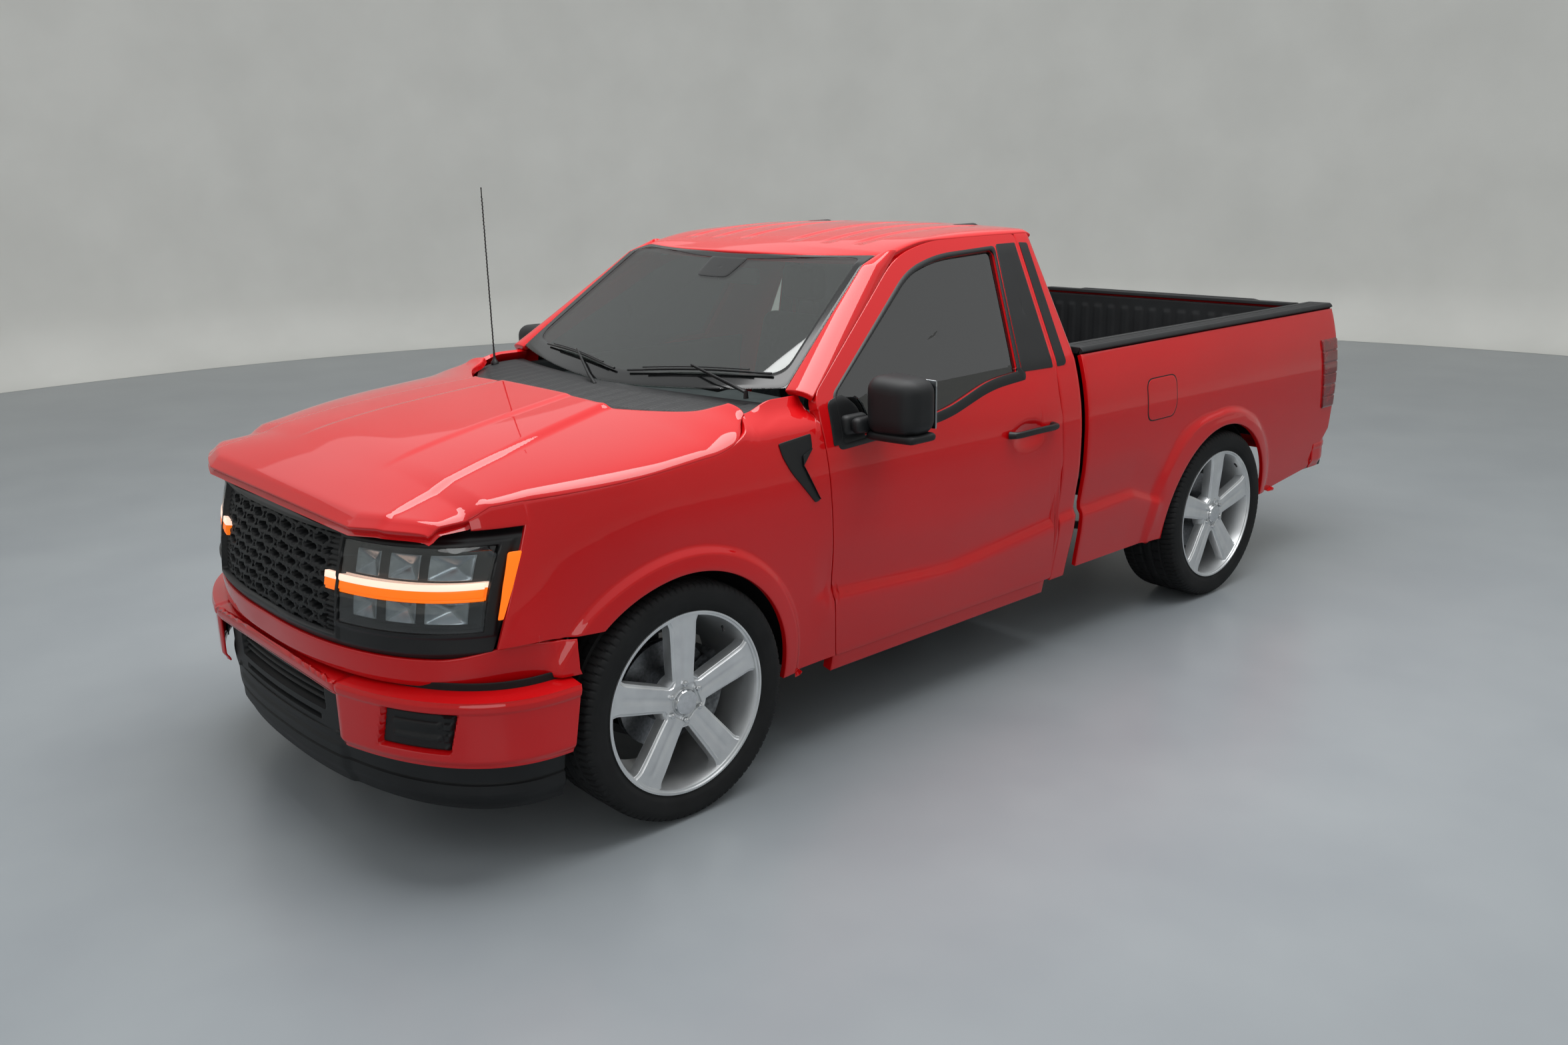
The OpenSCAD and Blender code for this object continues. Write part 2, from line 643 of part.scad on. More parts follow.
// The seam meets the wheel opening this far ahead of the axle
arch_reach = 0.8628 * arch_r;
arch_first = front_axle - arch_reach;
function fender_bottom(y) = y < arch_first - 1 ? seam_z : arch_low(y);
function fender_top(y) = y > hood_back - 55 ? belt_z + 4 : cut_z(y) - panel_gap;
module fender_shape() {
    back = door_front - panel_gap;
    stations = concat([for (i = [0:3]) fender_front + i * (arch_first - 3 - fender_front) / 3],
        [for (i = [0:18]) front_axle - arch_reach * cos(i * 85 / 9)],
        [front_axle + arch_r - 24, front_axle + arch_r - 6, front_axle + arch_r + 2],
        [for (i = [1:4]) front_axle + arch_r + 2 + i * (back - front_axle - arch_r - 2) / 4]);
    rows = 12;
    function spot(y, i, depth) =
        let (z = fender_bottom(y) + (fender_top(y) - fender_bottom(y)) * i / rows)
        [wall_x(y, z) + (depth > 0 ? 0 : lip(y, z, front_axle)) - depth,
         y + (y > door_front - 200 ? 82 * max(0, (560 - z) / 215) : 0), z];
    shell([for (y = stations) [for (i = [0:rows]) spot(y, i, 0)]],
        [for (y = stations) [for (i = [0:rows]) spot(y, i, skin_t)]]);
}

module front_fenders() color(paint) both_sides() fender_shape();

module hood() {
    cols = 24;
    rows = 18;
    function spot(i, j) =
        let (s = -1 + 2 * j / cols, y = hood_rear(s) + (hood_front(s) - hood_rear(s)) * i / rows)
        [s * hood_half(y), y, hood_z(s, y)];
    function under(i, j) =
        let (p = spot(i, j), s = -1 + 2 * j / cols)
        [p[0] * (1 - hood_t / 900), p[1], p[2] - hood_t * (1 - pow(abs(s), 6))];
    color(paint) shell([for (i = [0:rows]) [for (j = [0:cols]) spot(i, j)]],
        [for (i = [0:rows]) [for (j = [0:cols]) under(i, j)]]);
}

module cowl_panel() color(black_plastic) {
    foot = [for (i = [-10:10]) let (s = i / 10) [s * 830, shield_foot - 6 + 150 * s * s]];
    edge = [for (i = [10:-1:-10]) let (s = i / 10)
        [s * 830, hood_rear(s * 830 / 930) + 10]];
    translate([0, 0, belt_z - 32]) linear_extrude(22) polygon(concat(foot, edge));
}

grille_low = 672;
grille_high = 1028;
module grille() color(black_plastic) difference() {
    translate([0, 0, grille_low]) linear_extrude(grille_high - grille_low)
        nose_band(1000, 0, 90, 12, 168);
    lamp_cut(2);
    translate([-430, nose_y - 10, grille_low + 60])
        cube([860, 150, grille_high - grille_low - 130]);
}

module lamp_cut(grow) both_sides() translate([455 - grow, nose_y - 60, 742 - grow])
    cube([390 + 2 * grow, 600, 250 + 2 * grow]);

module headlamps() color("#c9ccd0") intersection() {
    translate([0, 0, grille_low]) linear_extrude(grille_high - grille_low)
        nose_band(1000, 8, 88, 12, 168);
    lamp_cut(-1);
}

bumper_low = 372;
bumper_high = 576;
module front_bumper() color(paint) {
    half = side_max + 14;
    depth = nose_start - nose_y;
    translate([0, 0, bumper_low]) linear_extrude(bumper_high - bumper_low) difference() {
        polygon(concat([[half - 70, nose_start + 4]], [for (i = [0:36]) let (u = i * 5)
            [half * pow(abs(cos(u)), 0.86) * (cos(u) < 0 ? -1 : 1),
             nose_start - depth * pow(abs(sin(u)), 0.86)]], [[-half + 70, nose_start + 4]]));
        polygon([for (i = [0:36]) let (u = i * 5)
            [(half - 70) * pow(abs(cos(u)), 0.86) * (cos(u) < 0 ? -1 : 1),
             nose_start + 6 - (depth - 64) * pow(abs(sin(u)), 0.86)]]);
        translate([-470, nose_y - 10]) square([940, 200]);
    }
    // painted panel between the grille and the bumper
    translate([0, 0, bumper_high + 14]) linear_extrude(grille_low - bumper_high - 20)
        nose_band(640, 0, 50, 0, 180);
}

module front_valance() color(black_plastic) {
    half = side_max - 30;
    depth = nose_start - nose_y - 40;
    translate([0, 0, 212]) linear_extrude(bumper_low - 212 - 4) difference() {
        polygon([for (i = [0:36]) let (u = i * 5)
            [half * pow(abs(cos(u)), 0.86) * (cos(u) < 0 ? -1 : 1),
             nose_start - depth * pow(abs(sin(u)), 0.86)]]);
        polygon([for (i = [0:36]) let (u = i * 5)
            [(half - 60) * pow(abs(cos(u)), 0.86) * (cos(u) < 0 ? -1 : 1),
             nose_start + 1 - (depth - 60) * pow(abs(sin(u)), 0.86)]]);
    }
    translate([-466, nose_y + 42, bumper_low]) cube([932, 40, bumper_high - bumper_low]);
}

module antenna() color("#141414") translate([-790, front_axle + 420, belt_z - 9]) {
    cylinder(h = 24, r = 16);
    cylinder(h = 160, r = 6);
    cylinder(h = 704, r = 3.5);
}

module liner_arc(y, r, x0, x1) across(x0, x1) difference() {
    translate([y, wheel_z]) circle(r = r + liner_t, $fn = 120);
    translate([y, wheel_z]) circle(r = r, $fn = 120);
    translate([y - 700, wheel_z - 730]) square([1400, 700]);
}

liner_out = side_x(sill_z) - skin_t - 4;
module wheel_liners() color(black_plastic) both_sides() {
    difference() {
        liner_arc(front_axle, front_liner_r, 560, liner_out);
        translate([500, front_axle - 900, wheel_z - 100]) cube([600, 440, 190]);
    }
    liner_arc(rear_axle_y, rear_liner_r, 672, liner_out);
}

// ---- Doors --------------------------------------------------------------

belt_drop = 22;
module window_outline(inset) {
    top = door_front + 560;
    polygon([[door_front + 110 + inset, belt_z - 30 + inset],
        [door_front + 390, belt_z - belt_drop + inset],
        [door_front + 600, belt_z - 26 + inset],
        [door_rear - 112 - inset, belt_z - 14 + inset],
        [door_rear - 56 - inset, side_top(door_rear) - 88 - inset],
        [door_front + 640, side_top(door_front + 660) - 86 - inset],
        [top + 26, side_top(top) - 110 - inset],
        [door_front + 372 + inset, belt_z + 236 - inset],
        [door_front + 132 + inset, belt_z + 64]]);
}

module door_shape() color(paint) difference() {
    union() {
        intersection() {
            side_slab(door_front - 60, door_rear + 100, 0, door_t, belt_z + 10);
            across(500, 1200) polygon(door_outline(0));
        }
        intersection() {
            side_slab(door_front - 60, door_rear + 100, 0, frame_t, roof_z);
            across(500, 1200) polygon(door_outline(0));
        }
    }
    across(400, 1200) window_outline(0);
    // the inside of the rear edge is shorter, so that the door swings out
    across(500, side_x(belt_z) - 120) translate([door_rear + 10, belt_z - 20]) square([60, 600]);
}

module door_glass_shape() color("#15191c") intersection() {
    side_slab(door_front, door_rear, 18, 18 + glass_t, roof_z);
    across(400, 1200) window_outline(2);
}

mirror_out = 1215;
module mirror_shape() color(black_plastic) {
    intersection() {
        side_slab(door_front, door_front + 200, -14, -0.3, belt_z + 60);
        across(500, 1300) polygon([[door_front + 34, 1100], [door_front + 190, 1100],
            [door_front + 190, 1225], [door_front + 110, 1262], [door_front + 34, 1240]]);
    }
    translate([1010, door_front + 140, 1112]) difference() {
        cube([mirror_out - 1010, 170, 218]);
        translate([12, 160, 12]) cube([mirror_out - 1034, 20, 194]);
    }
    translate([side_x(1150) + 2, door_front + 60, 1150]) cube([90, 140, 60]);
}

// ---- Bed ----------------------------------------------------------------

arch_half = arch_r + 40;
wheelhouse_h = wheel_z + rear_liner_r + liner_t + wheelhouse_gap + bed_wall - bed_floor_z;
module bed() color("#26282a") {
    half = bed_w / 2;
    house = wheelhouse_w / 2;
    difference() {
        translate([-half - bed_wall, bed_front + 14, bed_floor_z - bed_wall])
            cube([bed_w + 2 * bed_wall, bed_end - bed_front - 14, rail_z - bed_floor_z + bed_wall]);
        translate([-half, bed_in, bed_floor_z]) cube([bed_w, bed_l + 10, 700]);
        both_sides() translate([house, rear_axle_y - arch_half, bed_floor_z - 60])
            cube([300, 2 * arch_half, 60 + wheelhouse_h]);
    }
    both_sides() difference() {
        translate([house, rear_axle_y - arch_half, bed_floor_z - bed_wall])
            cube([half + bed_wall - house, 2 * arch_half, wheelhouse_h + bed_wall]);
        translate([house + bed_wall, rear_axle_y - arch_half + bed_wall, bed_floor_z - 60])
            cube([300, 2 * (arch_half - bed_wall), 60 + wheelhouse_h - bed_wall]);
    }
}

fuel_y = rear_axle_y - 632;
fuel_l = 216;
fuel_h = 172;
fuel_z = 922;
fuel_t = 10;
module fuel_outline(grow) translate([fuel_y + 40 - grow, fuel_z + 40 - grow])
    polygon([for (corner = [[0, 0, 180], [1, 0, 270], [1, 1, 0], [0, 1, 90]], k = [0:4])
        let (a = corner[2] + k * 22.5)
        [corner[0] * (fuel_l - 80 + 2 * grow) + 40 * cos(a),
         corner[1] * (fuel_h - 80 + 2 * grow) + 40 * sin(a)]]);

lamp_low = 756;
lamp_high = 1106;
lamp_front = bed_end - 88;
lamp_x = bed_w / 2 + bed_wall + 6;
bedside_end = bed_end + 72;
module bedside_shape(with_fuel_door) difference() {
    union() {
        side_slab(bed_front, bedside_end, 0, skin_t, rail_z);
        intersection() {
            side_slab(bed_front, bedside_end, 1, 190, rail_z);
            translate([tailgate_w / 2 + panel_gap + 6, bed_end + 2, 640]) cube([300, 70, 640]);
        }
        intersection() {
            across(side_max - 30, side_max + lip_out)
                translate([rear_axle_y, wheel_z]) circle(r = arch_r + lip_w, $fn = 120);
            translate([500, bed_front, sill_z + 10]) cube([700, bed_end - bed_front, 700]);
        }
    }
    across(500, 1200) translate([rear_axle_y, wheel_z]) circle(r = arch_r, $fn = 120);
    translate([500, rear_axle_y - 1500, 200]) cube([700, 3200, sill_z - 200]);
    translate([500, bed_end - 150, 200]) cube([700, 400, 440]);
    translate([lamp_x - 2, lamp_front - 2, lamp_low - 2])
        cube([300, 300, lamp_high - lamp_low + 4]);
    if (with_fuel_door) intersection() {
        across(900, 1100) fuel_outline(panel_gap);
        side_slab(bed_front, bed_end, -1, fuel_t + 6, rail_z);
    }
}

module bedsides() color(paint) {
    bedside_shape(true);
    mirror([1, 0, 0]) bedside_shape(false);
}

module fuel_door() color(paint) intersection() {
    across(900, 1100) fuel_outline(0);
    side_slab(bed_front, bed_end, 0, fuel_t, rail_z);
}

module bed_rail_caps() color(black_plastic) both_sides() {
    along(bed_front + 2, bedside_end) polygon([[bed_w / 2 - 6, rail_z + 1],
        [side_x(rail_z) + 2, rail_z + 1], [side_x(rail_z) + 2, rail_z + 16],
        [side_x(rail_z) - 14, rail_z + cap_t], [bed_w / 2 + 8, rail_z + cap_t],
        [bed_w / 2 - 6, rail_z + 22]]);
}

module tail_lamps() color("#7a0a10") both_sides() intersection() {
    side_slab(lamp_front, bedside_end + 16, -10, 140, rail_z);
    translate([lamp_x, lamp_front, lamp_low]) cube([300, 300, lamp_high - lamp_low]);
}

tailgate_low = bed_floor_z - 8;
tailgate_high = rail_z + cap_t;
module tailgate() color(paint) {
    half = tailgate_w / 2;
    difference() {
        translate([-half, bed_end + 6, tailgate_low])
            cube([2 * half, tailgate_t, tailgate_high - tailgate_low]);
        translate([-90, bed_end + tailgate_t - 20, tailgate_high - 130]) cube([180, 60, 70]);
    }
}

module rear_bumper() color(paint) difference() {
    half = side_max - 22;
    translate([0, 0, 446]) linear_extrude(190) difference() {
        polygon([[half, bed_end - 60], [half, tail_y - 190], [half - 30, tail_y - 100],
            [half - 130, tail_y - 30], [420, tail_y], [-420, tail_y], [-half + 130, tail_y - 30],
            [-half + 30, tail_y - 100], [-half, tail_y - 190], [-half, bed_end - 60]]);
        translate([-half + 70, bed_end - 100]) square([2 * half - 140, 150]);
    }
    translate([-half + 70, bed_end + 50, 440]) cube([2 * half - 140, tail_y - bed_end - 110, 150]);
    translate([0, tail_y - 75, 400]) cylinder(h = 300, r = ball_hole_r);
    for (side = [-1, 1]) translate([side * plate_pitch / 2, tail_y - 80, 545])
        rotate([-90, 0, 0]) cylinder(h = 100, r = plate_hole_r);
}

// ---- What is drawn ------------------------------------------------------

frame();
engine();
driveline();
exhaust();
fuel_tank();
rear_axle();
front_suspension();
spare_wheel();
cab();
cab_glass();
seats();
dashboard();
front_fenders();
grille();
headlamps();
front_bumper();
front_valance();
cowl_panel();
antenna();
wheel_liners();
bed();
bedsides();
bed_rail_caps();
tail_lamps();
rear_bumper();
hood();
door_shape();  // left_door
door_glass_shape();  // left_door_glass
mirror_shape();  // left_mirror
mirror([1, 0, 0]) door_shape();  // right_door
mirror([1, 0, 0]) door_glass_shape();  // right_door_glass
mirror([1, 0, 0]) mirror_shape();  // right_mirror
tailgate();
fuel_door();
steering_wheel();
knuckle_shape();  // left_knuckle
mirror([1, 0, 0]) knuckle_shape();  // right_knuckle
color("#101112") wheel_place(1, front_axle) tyre_shape();  // front_left_tyre
color("#c4c7ca") wheel_place(1, front_axle) rim_shape();  // front_left_rim
color("#101112") wheel_place(-1, front_axle) tyre_shape();  // front_right_tyre
color("#c4c7ca") wheel_place(-1, front_axle) rim_shape();  // front_right_rim
color("#101112") wheel_place(1, rear_axle_y) tyre_shape();  // rear_left_tyre
color("#c4c7ca") wheel_place(1, rear_axle_y) rim_shape();  // rear_left_rim
color("#101112") wheel_place(-1, rear_axle_y) tyre_shape();  // rear_right_tyre
color("#c4c7ca") wheel_place(-1, rear_axle_y) rim_shape();  // rear_right_rim
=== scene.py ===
import math

import bpy
import numpy as np
from mathutils import Matrix, Vector


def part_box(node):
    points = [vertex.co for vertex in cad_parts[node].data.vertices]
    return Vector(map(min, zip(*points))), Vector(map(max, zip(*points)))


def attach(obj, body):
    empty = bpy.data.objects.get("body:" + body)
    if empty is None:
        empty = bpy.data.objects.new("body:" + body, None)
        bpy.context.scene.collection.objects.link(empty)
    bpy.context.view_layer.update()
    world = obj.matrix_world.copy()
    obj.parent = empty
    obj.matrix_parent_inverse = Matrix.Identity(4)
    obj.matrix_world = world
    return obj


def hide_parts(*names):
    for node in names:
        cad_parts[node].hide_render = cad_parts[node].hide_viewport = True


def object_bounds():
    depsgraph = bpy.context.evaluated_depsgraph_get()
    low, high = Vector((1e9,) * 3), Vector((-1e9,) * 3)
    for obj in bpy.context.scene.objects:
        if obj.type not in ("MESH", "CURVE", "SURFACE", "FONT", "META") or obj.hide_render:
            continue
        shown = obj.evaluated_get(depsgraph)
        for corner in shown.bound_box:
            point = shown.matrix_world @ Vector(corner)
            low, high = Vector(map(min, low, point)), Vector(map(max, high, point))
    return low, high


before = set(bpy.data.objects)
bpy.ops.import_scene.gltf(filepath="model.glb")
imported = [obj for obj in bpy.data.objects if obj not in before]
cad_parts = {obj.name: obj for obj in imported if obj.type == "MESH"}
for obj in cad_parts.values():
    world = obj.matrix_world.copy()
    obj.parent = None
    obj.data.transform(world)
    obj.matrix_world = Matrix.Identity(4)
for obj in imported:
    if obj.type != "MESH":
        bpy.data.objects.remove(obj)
cad_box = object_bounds()

# ---- Camera --------------------------------------------------------------
# It stands ahead of the left front corner at eye height, looking down along the truck.
camera_place = (3.9714, -3.9669, 2.0019)
camera_turn, camera_tilt, camera_roll = np.radians([48.161, 15.511, -1.149])
back = np.array([math.sin(camera_turn) * math.cos(camera_tilt),
                 -math.cos(camera_turn) * math.cos(camera_tilt), math.sin(camera_tilt)])
level = np.array([math.cos(camera_turn), math.sin(camera_turn), 0])
upright = np.cross(back, level)
camera_right = level * math.cos(camera_roll) + upright * math.sin(camera_roll)
camera_up = upright * math.cos(camera_roll) - level * math.sin(camera_roll)
camera = bpy.data.objects.new("camera", bpy.data.cameras.new("camera"))
camera.data.lens = 29.69
camera.data.sensor_width = 36
matrix = np.eye(4)
matrix[:3, 0], matrix[:3, 1], matrix[:3, 2] = camera_right, camera_up, back
matrix[:3, 3] = camera_place
camera.matrix_world = Matrix(matrix.tolist())
bpy.context.scene.collection.objects.link(camera)
bpy.context.scene.camera = camera

# ---- Body surface and its paint ------------------------------------------
# The outer panels are pressed aluminium, primed, sprayed a solid bright red and clear coated
# together, so that one skin runs over hood, fenders, doors, cab and bed.
def linear(code, alpha=1.0):
    """sRGB hex colour as linear red, green, blue and alpha."""
    parts = np.array([int(code[i:i + 2], 16) for i in (1, 3, 5)]) / 255
    parts = np.where(parts <= 0.04045, parts / 12.92, ((parts + 0.055) / 1.055) ** 2.4)
    return (*parts.tolist(), alpha)


def add(tree, kind, sockets=None, **settings):
    """Adds one shader node: settings go on the node, sockets hold values or outputs to link."""
    made = tree.nodes.new("ShaderNode" + kind)
    for key, value in settings.items():
        setattr(made, key, value)
    for key, value in (sockets or {}).items():
        if isinstance(value, bpy.types.NodeSocket):
            tree.links.new(value, made.inputs[key])
        else:
            made.inputs[key].default_value = value
    return made


def finish(name, sockets):
    """A material with one principled surface whose constants are on its own sockets."""
    made = bpy.data.materials.new(name)
    made.use_nodes = True
    made.node_tree.nodes.clear()
    shader = add(made.node_tree, "BsdfPrincipled", sockets)
    add(made.node_tree, "OutputMaterial", {"Surface": shader.outputs[0]})
    return made, made.node_tree, shader


def mottle(tree, shader, size, dark, light, detail=3.0):
    """Base colour that wanders between two sRGB colours in patches about `size` mm wide."""
    place = add(tree, "TexCoord")
    noise = add(tree, "TexNoise", {"Vector": place.outputs["Object"], "Scale": 1000 / size,
                                   "Detail": detail})
    ramp = add(tree, "ValToRGB", {"Fac": noise.outputs["Fac"]})
    ramp.color_ramp.elements[0].position, ramp.color_ramp.elements[1].position = 0.3, 0.7
    ramp.color_ramp.elements[0].color = linear(dark)
    ramp.color_ramp.elements[1].color = linear(light)
    tree.links.new(ramp.outputs["Color"], shader.inputs["Base Color"])
    return noise


def grain(tree, shader, size, height, kind="TexNoise", detail=2.0):
    """Bump of grains `size` mm wide and `height` mm deep, cast or moulded in the surface."""
    place = add(tree, "TexCoord")
    pattern = add(tree, kind, {"Vector": place.outputs["Object"], "Scale": 1000 / size})
    if kind == "TexNoise":
        pattern.inputs["Detail"].default_value = detail
    bump = add(tree, "Bump", {"Height": pattern.outputs[0], "Distance": height / 1000,
                              "Strength": 1.0})
    tree.links.new(bump.outputs["Normal"], shader.inputs["Normal"])
    return bump


def step(value, low, high):
    """Smooth step from 0 at low to 1 at high."""
    t = np.clip((value - low) / (high - low), 0, 1)
    return t * t * (3 - 2 * t)


low_box, high_box = (np.array(corner) * 1000 for corner in cad_box)
front_wheel = np.array(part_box("front_left_tyre")) * 1000
rear_wheel = np.array(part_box("rear_left_tyre")) * 1000
cab_box = np.array(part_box("cab")) * 1000
bed_box = np.array(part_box("bed")) * 1000
front_axle, rear_axle = front_wheel[:, 1].mean(), rear_wheel[:, 1].mean()
wheel_x, wheel_z = front_wheel[:, 0].mean(), front_wheel[:, 2].mean()
nose_y, tail_y = front_axle - 945, high_box[1]
front_limit = low_box[1] + 1.0
door_front, door_rear = front_axle + 610, front_axle + 1880
cab_back = cab_box[1, 1]
bed_front, bed_end = cab_back + 30, cab_back + 2079
side_max, widest_z, belt_z, sill_z = 997.0, 930.0, 1240.0, 345.0
roof_z = cab_box[1, 2]
arch_r = 430.0
nose_start, hood_mid = front_axle - 435, front_axle + 120
shield_foot, shield_top = front_axle + 410, front_axle + 1070

paint, tree, shader = finish("sprayed_red_enamel_clear_coated", {
    "Roughness": 0.5, "IOR": 1.45, "Coat Weight": 1.0, "Coat Roughness": 0.02,
    "Coat IOR": 1.5, "Specular IOR Level": 0.08})
# pigment that wanders a little, and the faint orange peel of a sprayed clear coat
mottle(tree, shader, 900, "#be030a", "#c7050c")
peel = grain(tree, shader, 5, 0.012)
tree.links.new(peel.outputs["Normal"], shader.inputs["Coat Normal"])


def side_x(z):
    """Half width at height z: two arcs below the belt, and above it a plane that leans in."""
    belt_x = side_max - (belt_z - widest_z) ** 2 / 1900
    arcs = side_max - np.where(z > widest_z, (z - widest_z) ** 2 / 1900,
                               (widest_z - z) ** 2 / 6000)
    return np.where(z > belt_z, belt_x - 0.53 * (z - belt_z), arcs)


def wall_x(y, z):
    """Half width at station y: the side draws in on a parabola ahead of the front axle."""
    taper = 3.1e-4 + 2.9e-4 * (z - 700) / 340
    return side_x(z) - taper * np.minimum(y - (front_axle - 40), 0) ** 2


def nose_x(y, z):
    """Ahead of the nose's start the side turns across the front on a superellipse."""
    soft = 60 * (1 - np.exp(-np.maximum(nose_start - y, 0) / 60))
    depth = nose_start - (nose_y + 38 + 72 * ((z - 640) / 400) ** 2)
    t = np.clip((nose_start - y) / depth, 0, 0.9999)
    return wall_x(np.maximum(y, nose_start) - soft, z) * (1 - t ** 2.5) ** 0.4


def arch_flare(y, z, axle, ahead):
    """Outward swell of the flare round a wheel opening: 17 mm at the opening, falling over a
    narrow ledge about 485 mm from the axle, further out where `ahead` widens it."""
    r = np.hypot(y - axle, z - wheel_z)
    side = np.clip((axle - y) / np.maximum(r, 1), -1, 1)
    ledge = 492 + ahead * step(side, 0.1, 0.75)
    return 17 * step(r, ledge + 16, ledge - 16) + 5 * step(r, ledge - 10, arch_r)


def crease_z(y):
    """Height of the pressed line low on the doors and bed."""
    return np.interp(y, [-1100, -926, -462, 318, 384, 715, 930, 1100],
                     [612, 598, 564, 629, 624, 636, 560, 545])


def body_x(y, z):
    """Outer face of the body side with its flares and the tuck above the low crease."""
    drop = crease_z(y) - z
    fade = step(y, -1180, -1080) * (1 - step(y, 880, 960))
    tuck = -11 * (1 - step(-drop, 0, 190)) * (1 - step(drop, 0, 34)) + 7 * step(drop, 0, 34)
    tuck = tuck - 9 * step(drop, 60, 260)
    shape = np.where(y < nose_start, nose_x(y, z), wall_x(y, z)) + fade * tuck
    shape = shape + arch_flare(y, z, front_axle, 0)
    return shape + arch_flare(y, z, rear_axle, 52)


def on_side(grid):
    """Grid of (y, z) laid on the left body side."""
    y, z = grid[..., 0], grid[..., 1]
    return np.stack([body_x(y, z), y, z], -1)


# ---- Hood ----------------------------------------------------------------
# A clamshell pressing with its shut lines low on the shoulders. Its middle is a raised dome
# between two creases that run back from the corners of the grille and draw together.
def grid_faces(rows, cols, wrap_rows=False, wrap_cols=False):
    """Quads between neighbouring points of a grid, as indices into its flattened points."""
    i, j = np.meshgrid(np.arange(rows - (not wrap_rows)), np.arange(cols - (not wrap_cols)),
                       indexing="ij")
    up, over = (i + 1) % rows, (j + 1) % cols
    return np.stack([i * cols + j, up * cols + j, up * cols + over, i * cols + over],
                    -1).reshape(-1, 4)


def outward(points, faces):
    """The same closed part with its faces turned outwards, judged by its signed volume."""
    corner = [points[faces[:, k]] for k in range(4)]
    volume = np.einsum("ij,ij->", corner[0], np.cross(corner[1], corner[2]))
    volume += np.einsum("ij,ij->", corner[0], np.cross(corner[2], corner[3]))
    return points, faces if volume > 0 else faces[:, ::-1]


def unit(vectors):
    """Vectors scaled to length one along the last axis."""
    return vectors / np.maximum(np.linalg.norm(vectors, axis=-1, keepdims=True), 1e-9)


def slopes(points, wrap=False):
    """Differences of a grid of points along its rows and along its columns."""
    along_rows = np.gradient(points, axis=0)
    if wrap:
        along_rows = np.roll(points, -1, 0) - np.roll(points, 1, 0)
    return along_rows, np.gradient(points, axis=1)


def panel(points, thick, out, edge=3.0, wrap=False, straight=False):
    """Sheet part whose outer face is the grid `points`. At its borders the face rolls inwards
    on a quarter circle of radius `edge`, drops to `thick`, and a parallel inner face closes it.
    `out` is a direction that the outer face looks to. A `straight` part has its inner face
    moved along `out` instead, for skins that turn too sharply for a parallel one."""
    rows, cols = points.shape[:2]
    along_rows, along_cols = slopes(points, wrap)
    normal = unit(np.cross(along_rows, along_cols))
    normal = normal * np.sign(np.sum(normal @ np.array(out, float)))
    turn = np.radians([0, 30, 60, 90, 90])
    grow, sink = edge * np.sin(turn[1:]), edge * (1 - np.cos(turn[1:]))
    sink[-1] = thick
    k = len(grow)
    pads = 0 if wrap else k
    pick_i = np.clip(np.arange(-pads, rows + pads), 0, rows - 1)
    pick_j = np.clip(np.arange(-k, cols + k), 0, cols - 1)
    steps = lambda g, n, p: np.concatenate([g[::-1][len(g) - p:], np.zeros(n), g[:p]])
    sign = lambda n, p: np.concatenate([-np.ones(p), np.zeros(n), np.ones(p)])
    base = points[pick_i][:, pick_j]
    to_rows = unit(along_rows)[pick_i][:, pick_j]
    to_cols = unit(along_cols)[pick_i][:, pick_j]
    normal = normal[pick_i][:, pick_j]
    base = base + to_rows * (steps(grow, rows, pads) * sign(rows, pads))[:, None, None]
    base = base + to_cols * (steps(grow, cols, k) * sign(cols, k))[None, :, None]
    depth = np.maximum(steps(sink, rows, pads)[:, None], steps(sink, cols, k)[None, :])
    outer = base - normal * depth[..., None]
    inner = base - (unit(np.array(out, float)) if straight else normal) * thick
    rows, cols = base.shape[:2]
    index = np.arange(rows * cols).reshape(rows, cols)
    border = np.zeros((rows, cols), bool)
    border[:, [0, -1]] = True
    if not wrap:
        border[[0, -1]] = True
    under = np.where(border, index, index + rows * cols).ravel()
    faces = grid_faces(rows, cols, wrap)
    faces = np.concatenate([faces, under[faces][:, ::-1]])
    return outward(np.concatenate([outer.reshape(-1, 3), inner.reshape(-1, 3)]), faces)


def piece(name, parts, material, body="truck", replaces=(), smooth=True,
          crease=38):
    """One object made of closed parts given in mm. Faces that meet at more than `crease`
    degrees keep a sharp edge. It rides on a CAD body and may stand for CAD nodes."""
    starts = np.cumsum([0] + [len(points) for points, _ in parts])
    points = np.concatenate([points for points, _ in parts]) / 1000
    faces = np.concatenate([faces + start for (_, faces), start in zip(parts, starts)])
    used, faces = np.unique(faces, return_inverse=True)
    faces = faces.reshape(-1, 4)
    mesh = bpy.data.meshes.new(name)
    mesh.from_pydata(points[used].tolist(), [], faces.tolist())
    mesh.validate()
    mesh.polygons.foreach_set("use_smooth", np.full(len(mesh.polygons), smooth))
    if smooth:
        mesh.set_sharp_from_angle(angle=math.radians(crease))
    mesh.materials.append(material)
    made = bpy.data.objects.new(name, mesh)
    bpy.context.scene.collection.objects.link(made)
    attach(made, body)
    if replaces:
        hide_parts(*replaces)
    return made


def hood_centre(y):
    """Height of the hood's middle: a straight fall forward and a steeper one near the nose."""
    d = (hood_mid - y) / 955
    return 1255 - 105 * d - 86 * np.maximum(0, d) ** 4


def cut_z(y):
    """Height of the side shut line."""
    d = np.maximum(y - front_axle, -608)
    over_lamps = 1068 + 0.55 * (d + 608)
    over_wheel = 1101.5 + 0.074 * (d + 545)
    at_cowl = 1151 + 1.7e-3 * np.maximum(d - 120, 0) ** 2
    return np.where(d < -545, over_lamps, np.where(d < 120, over_wheel, at_cowl))


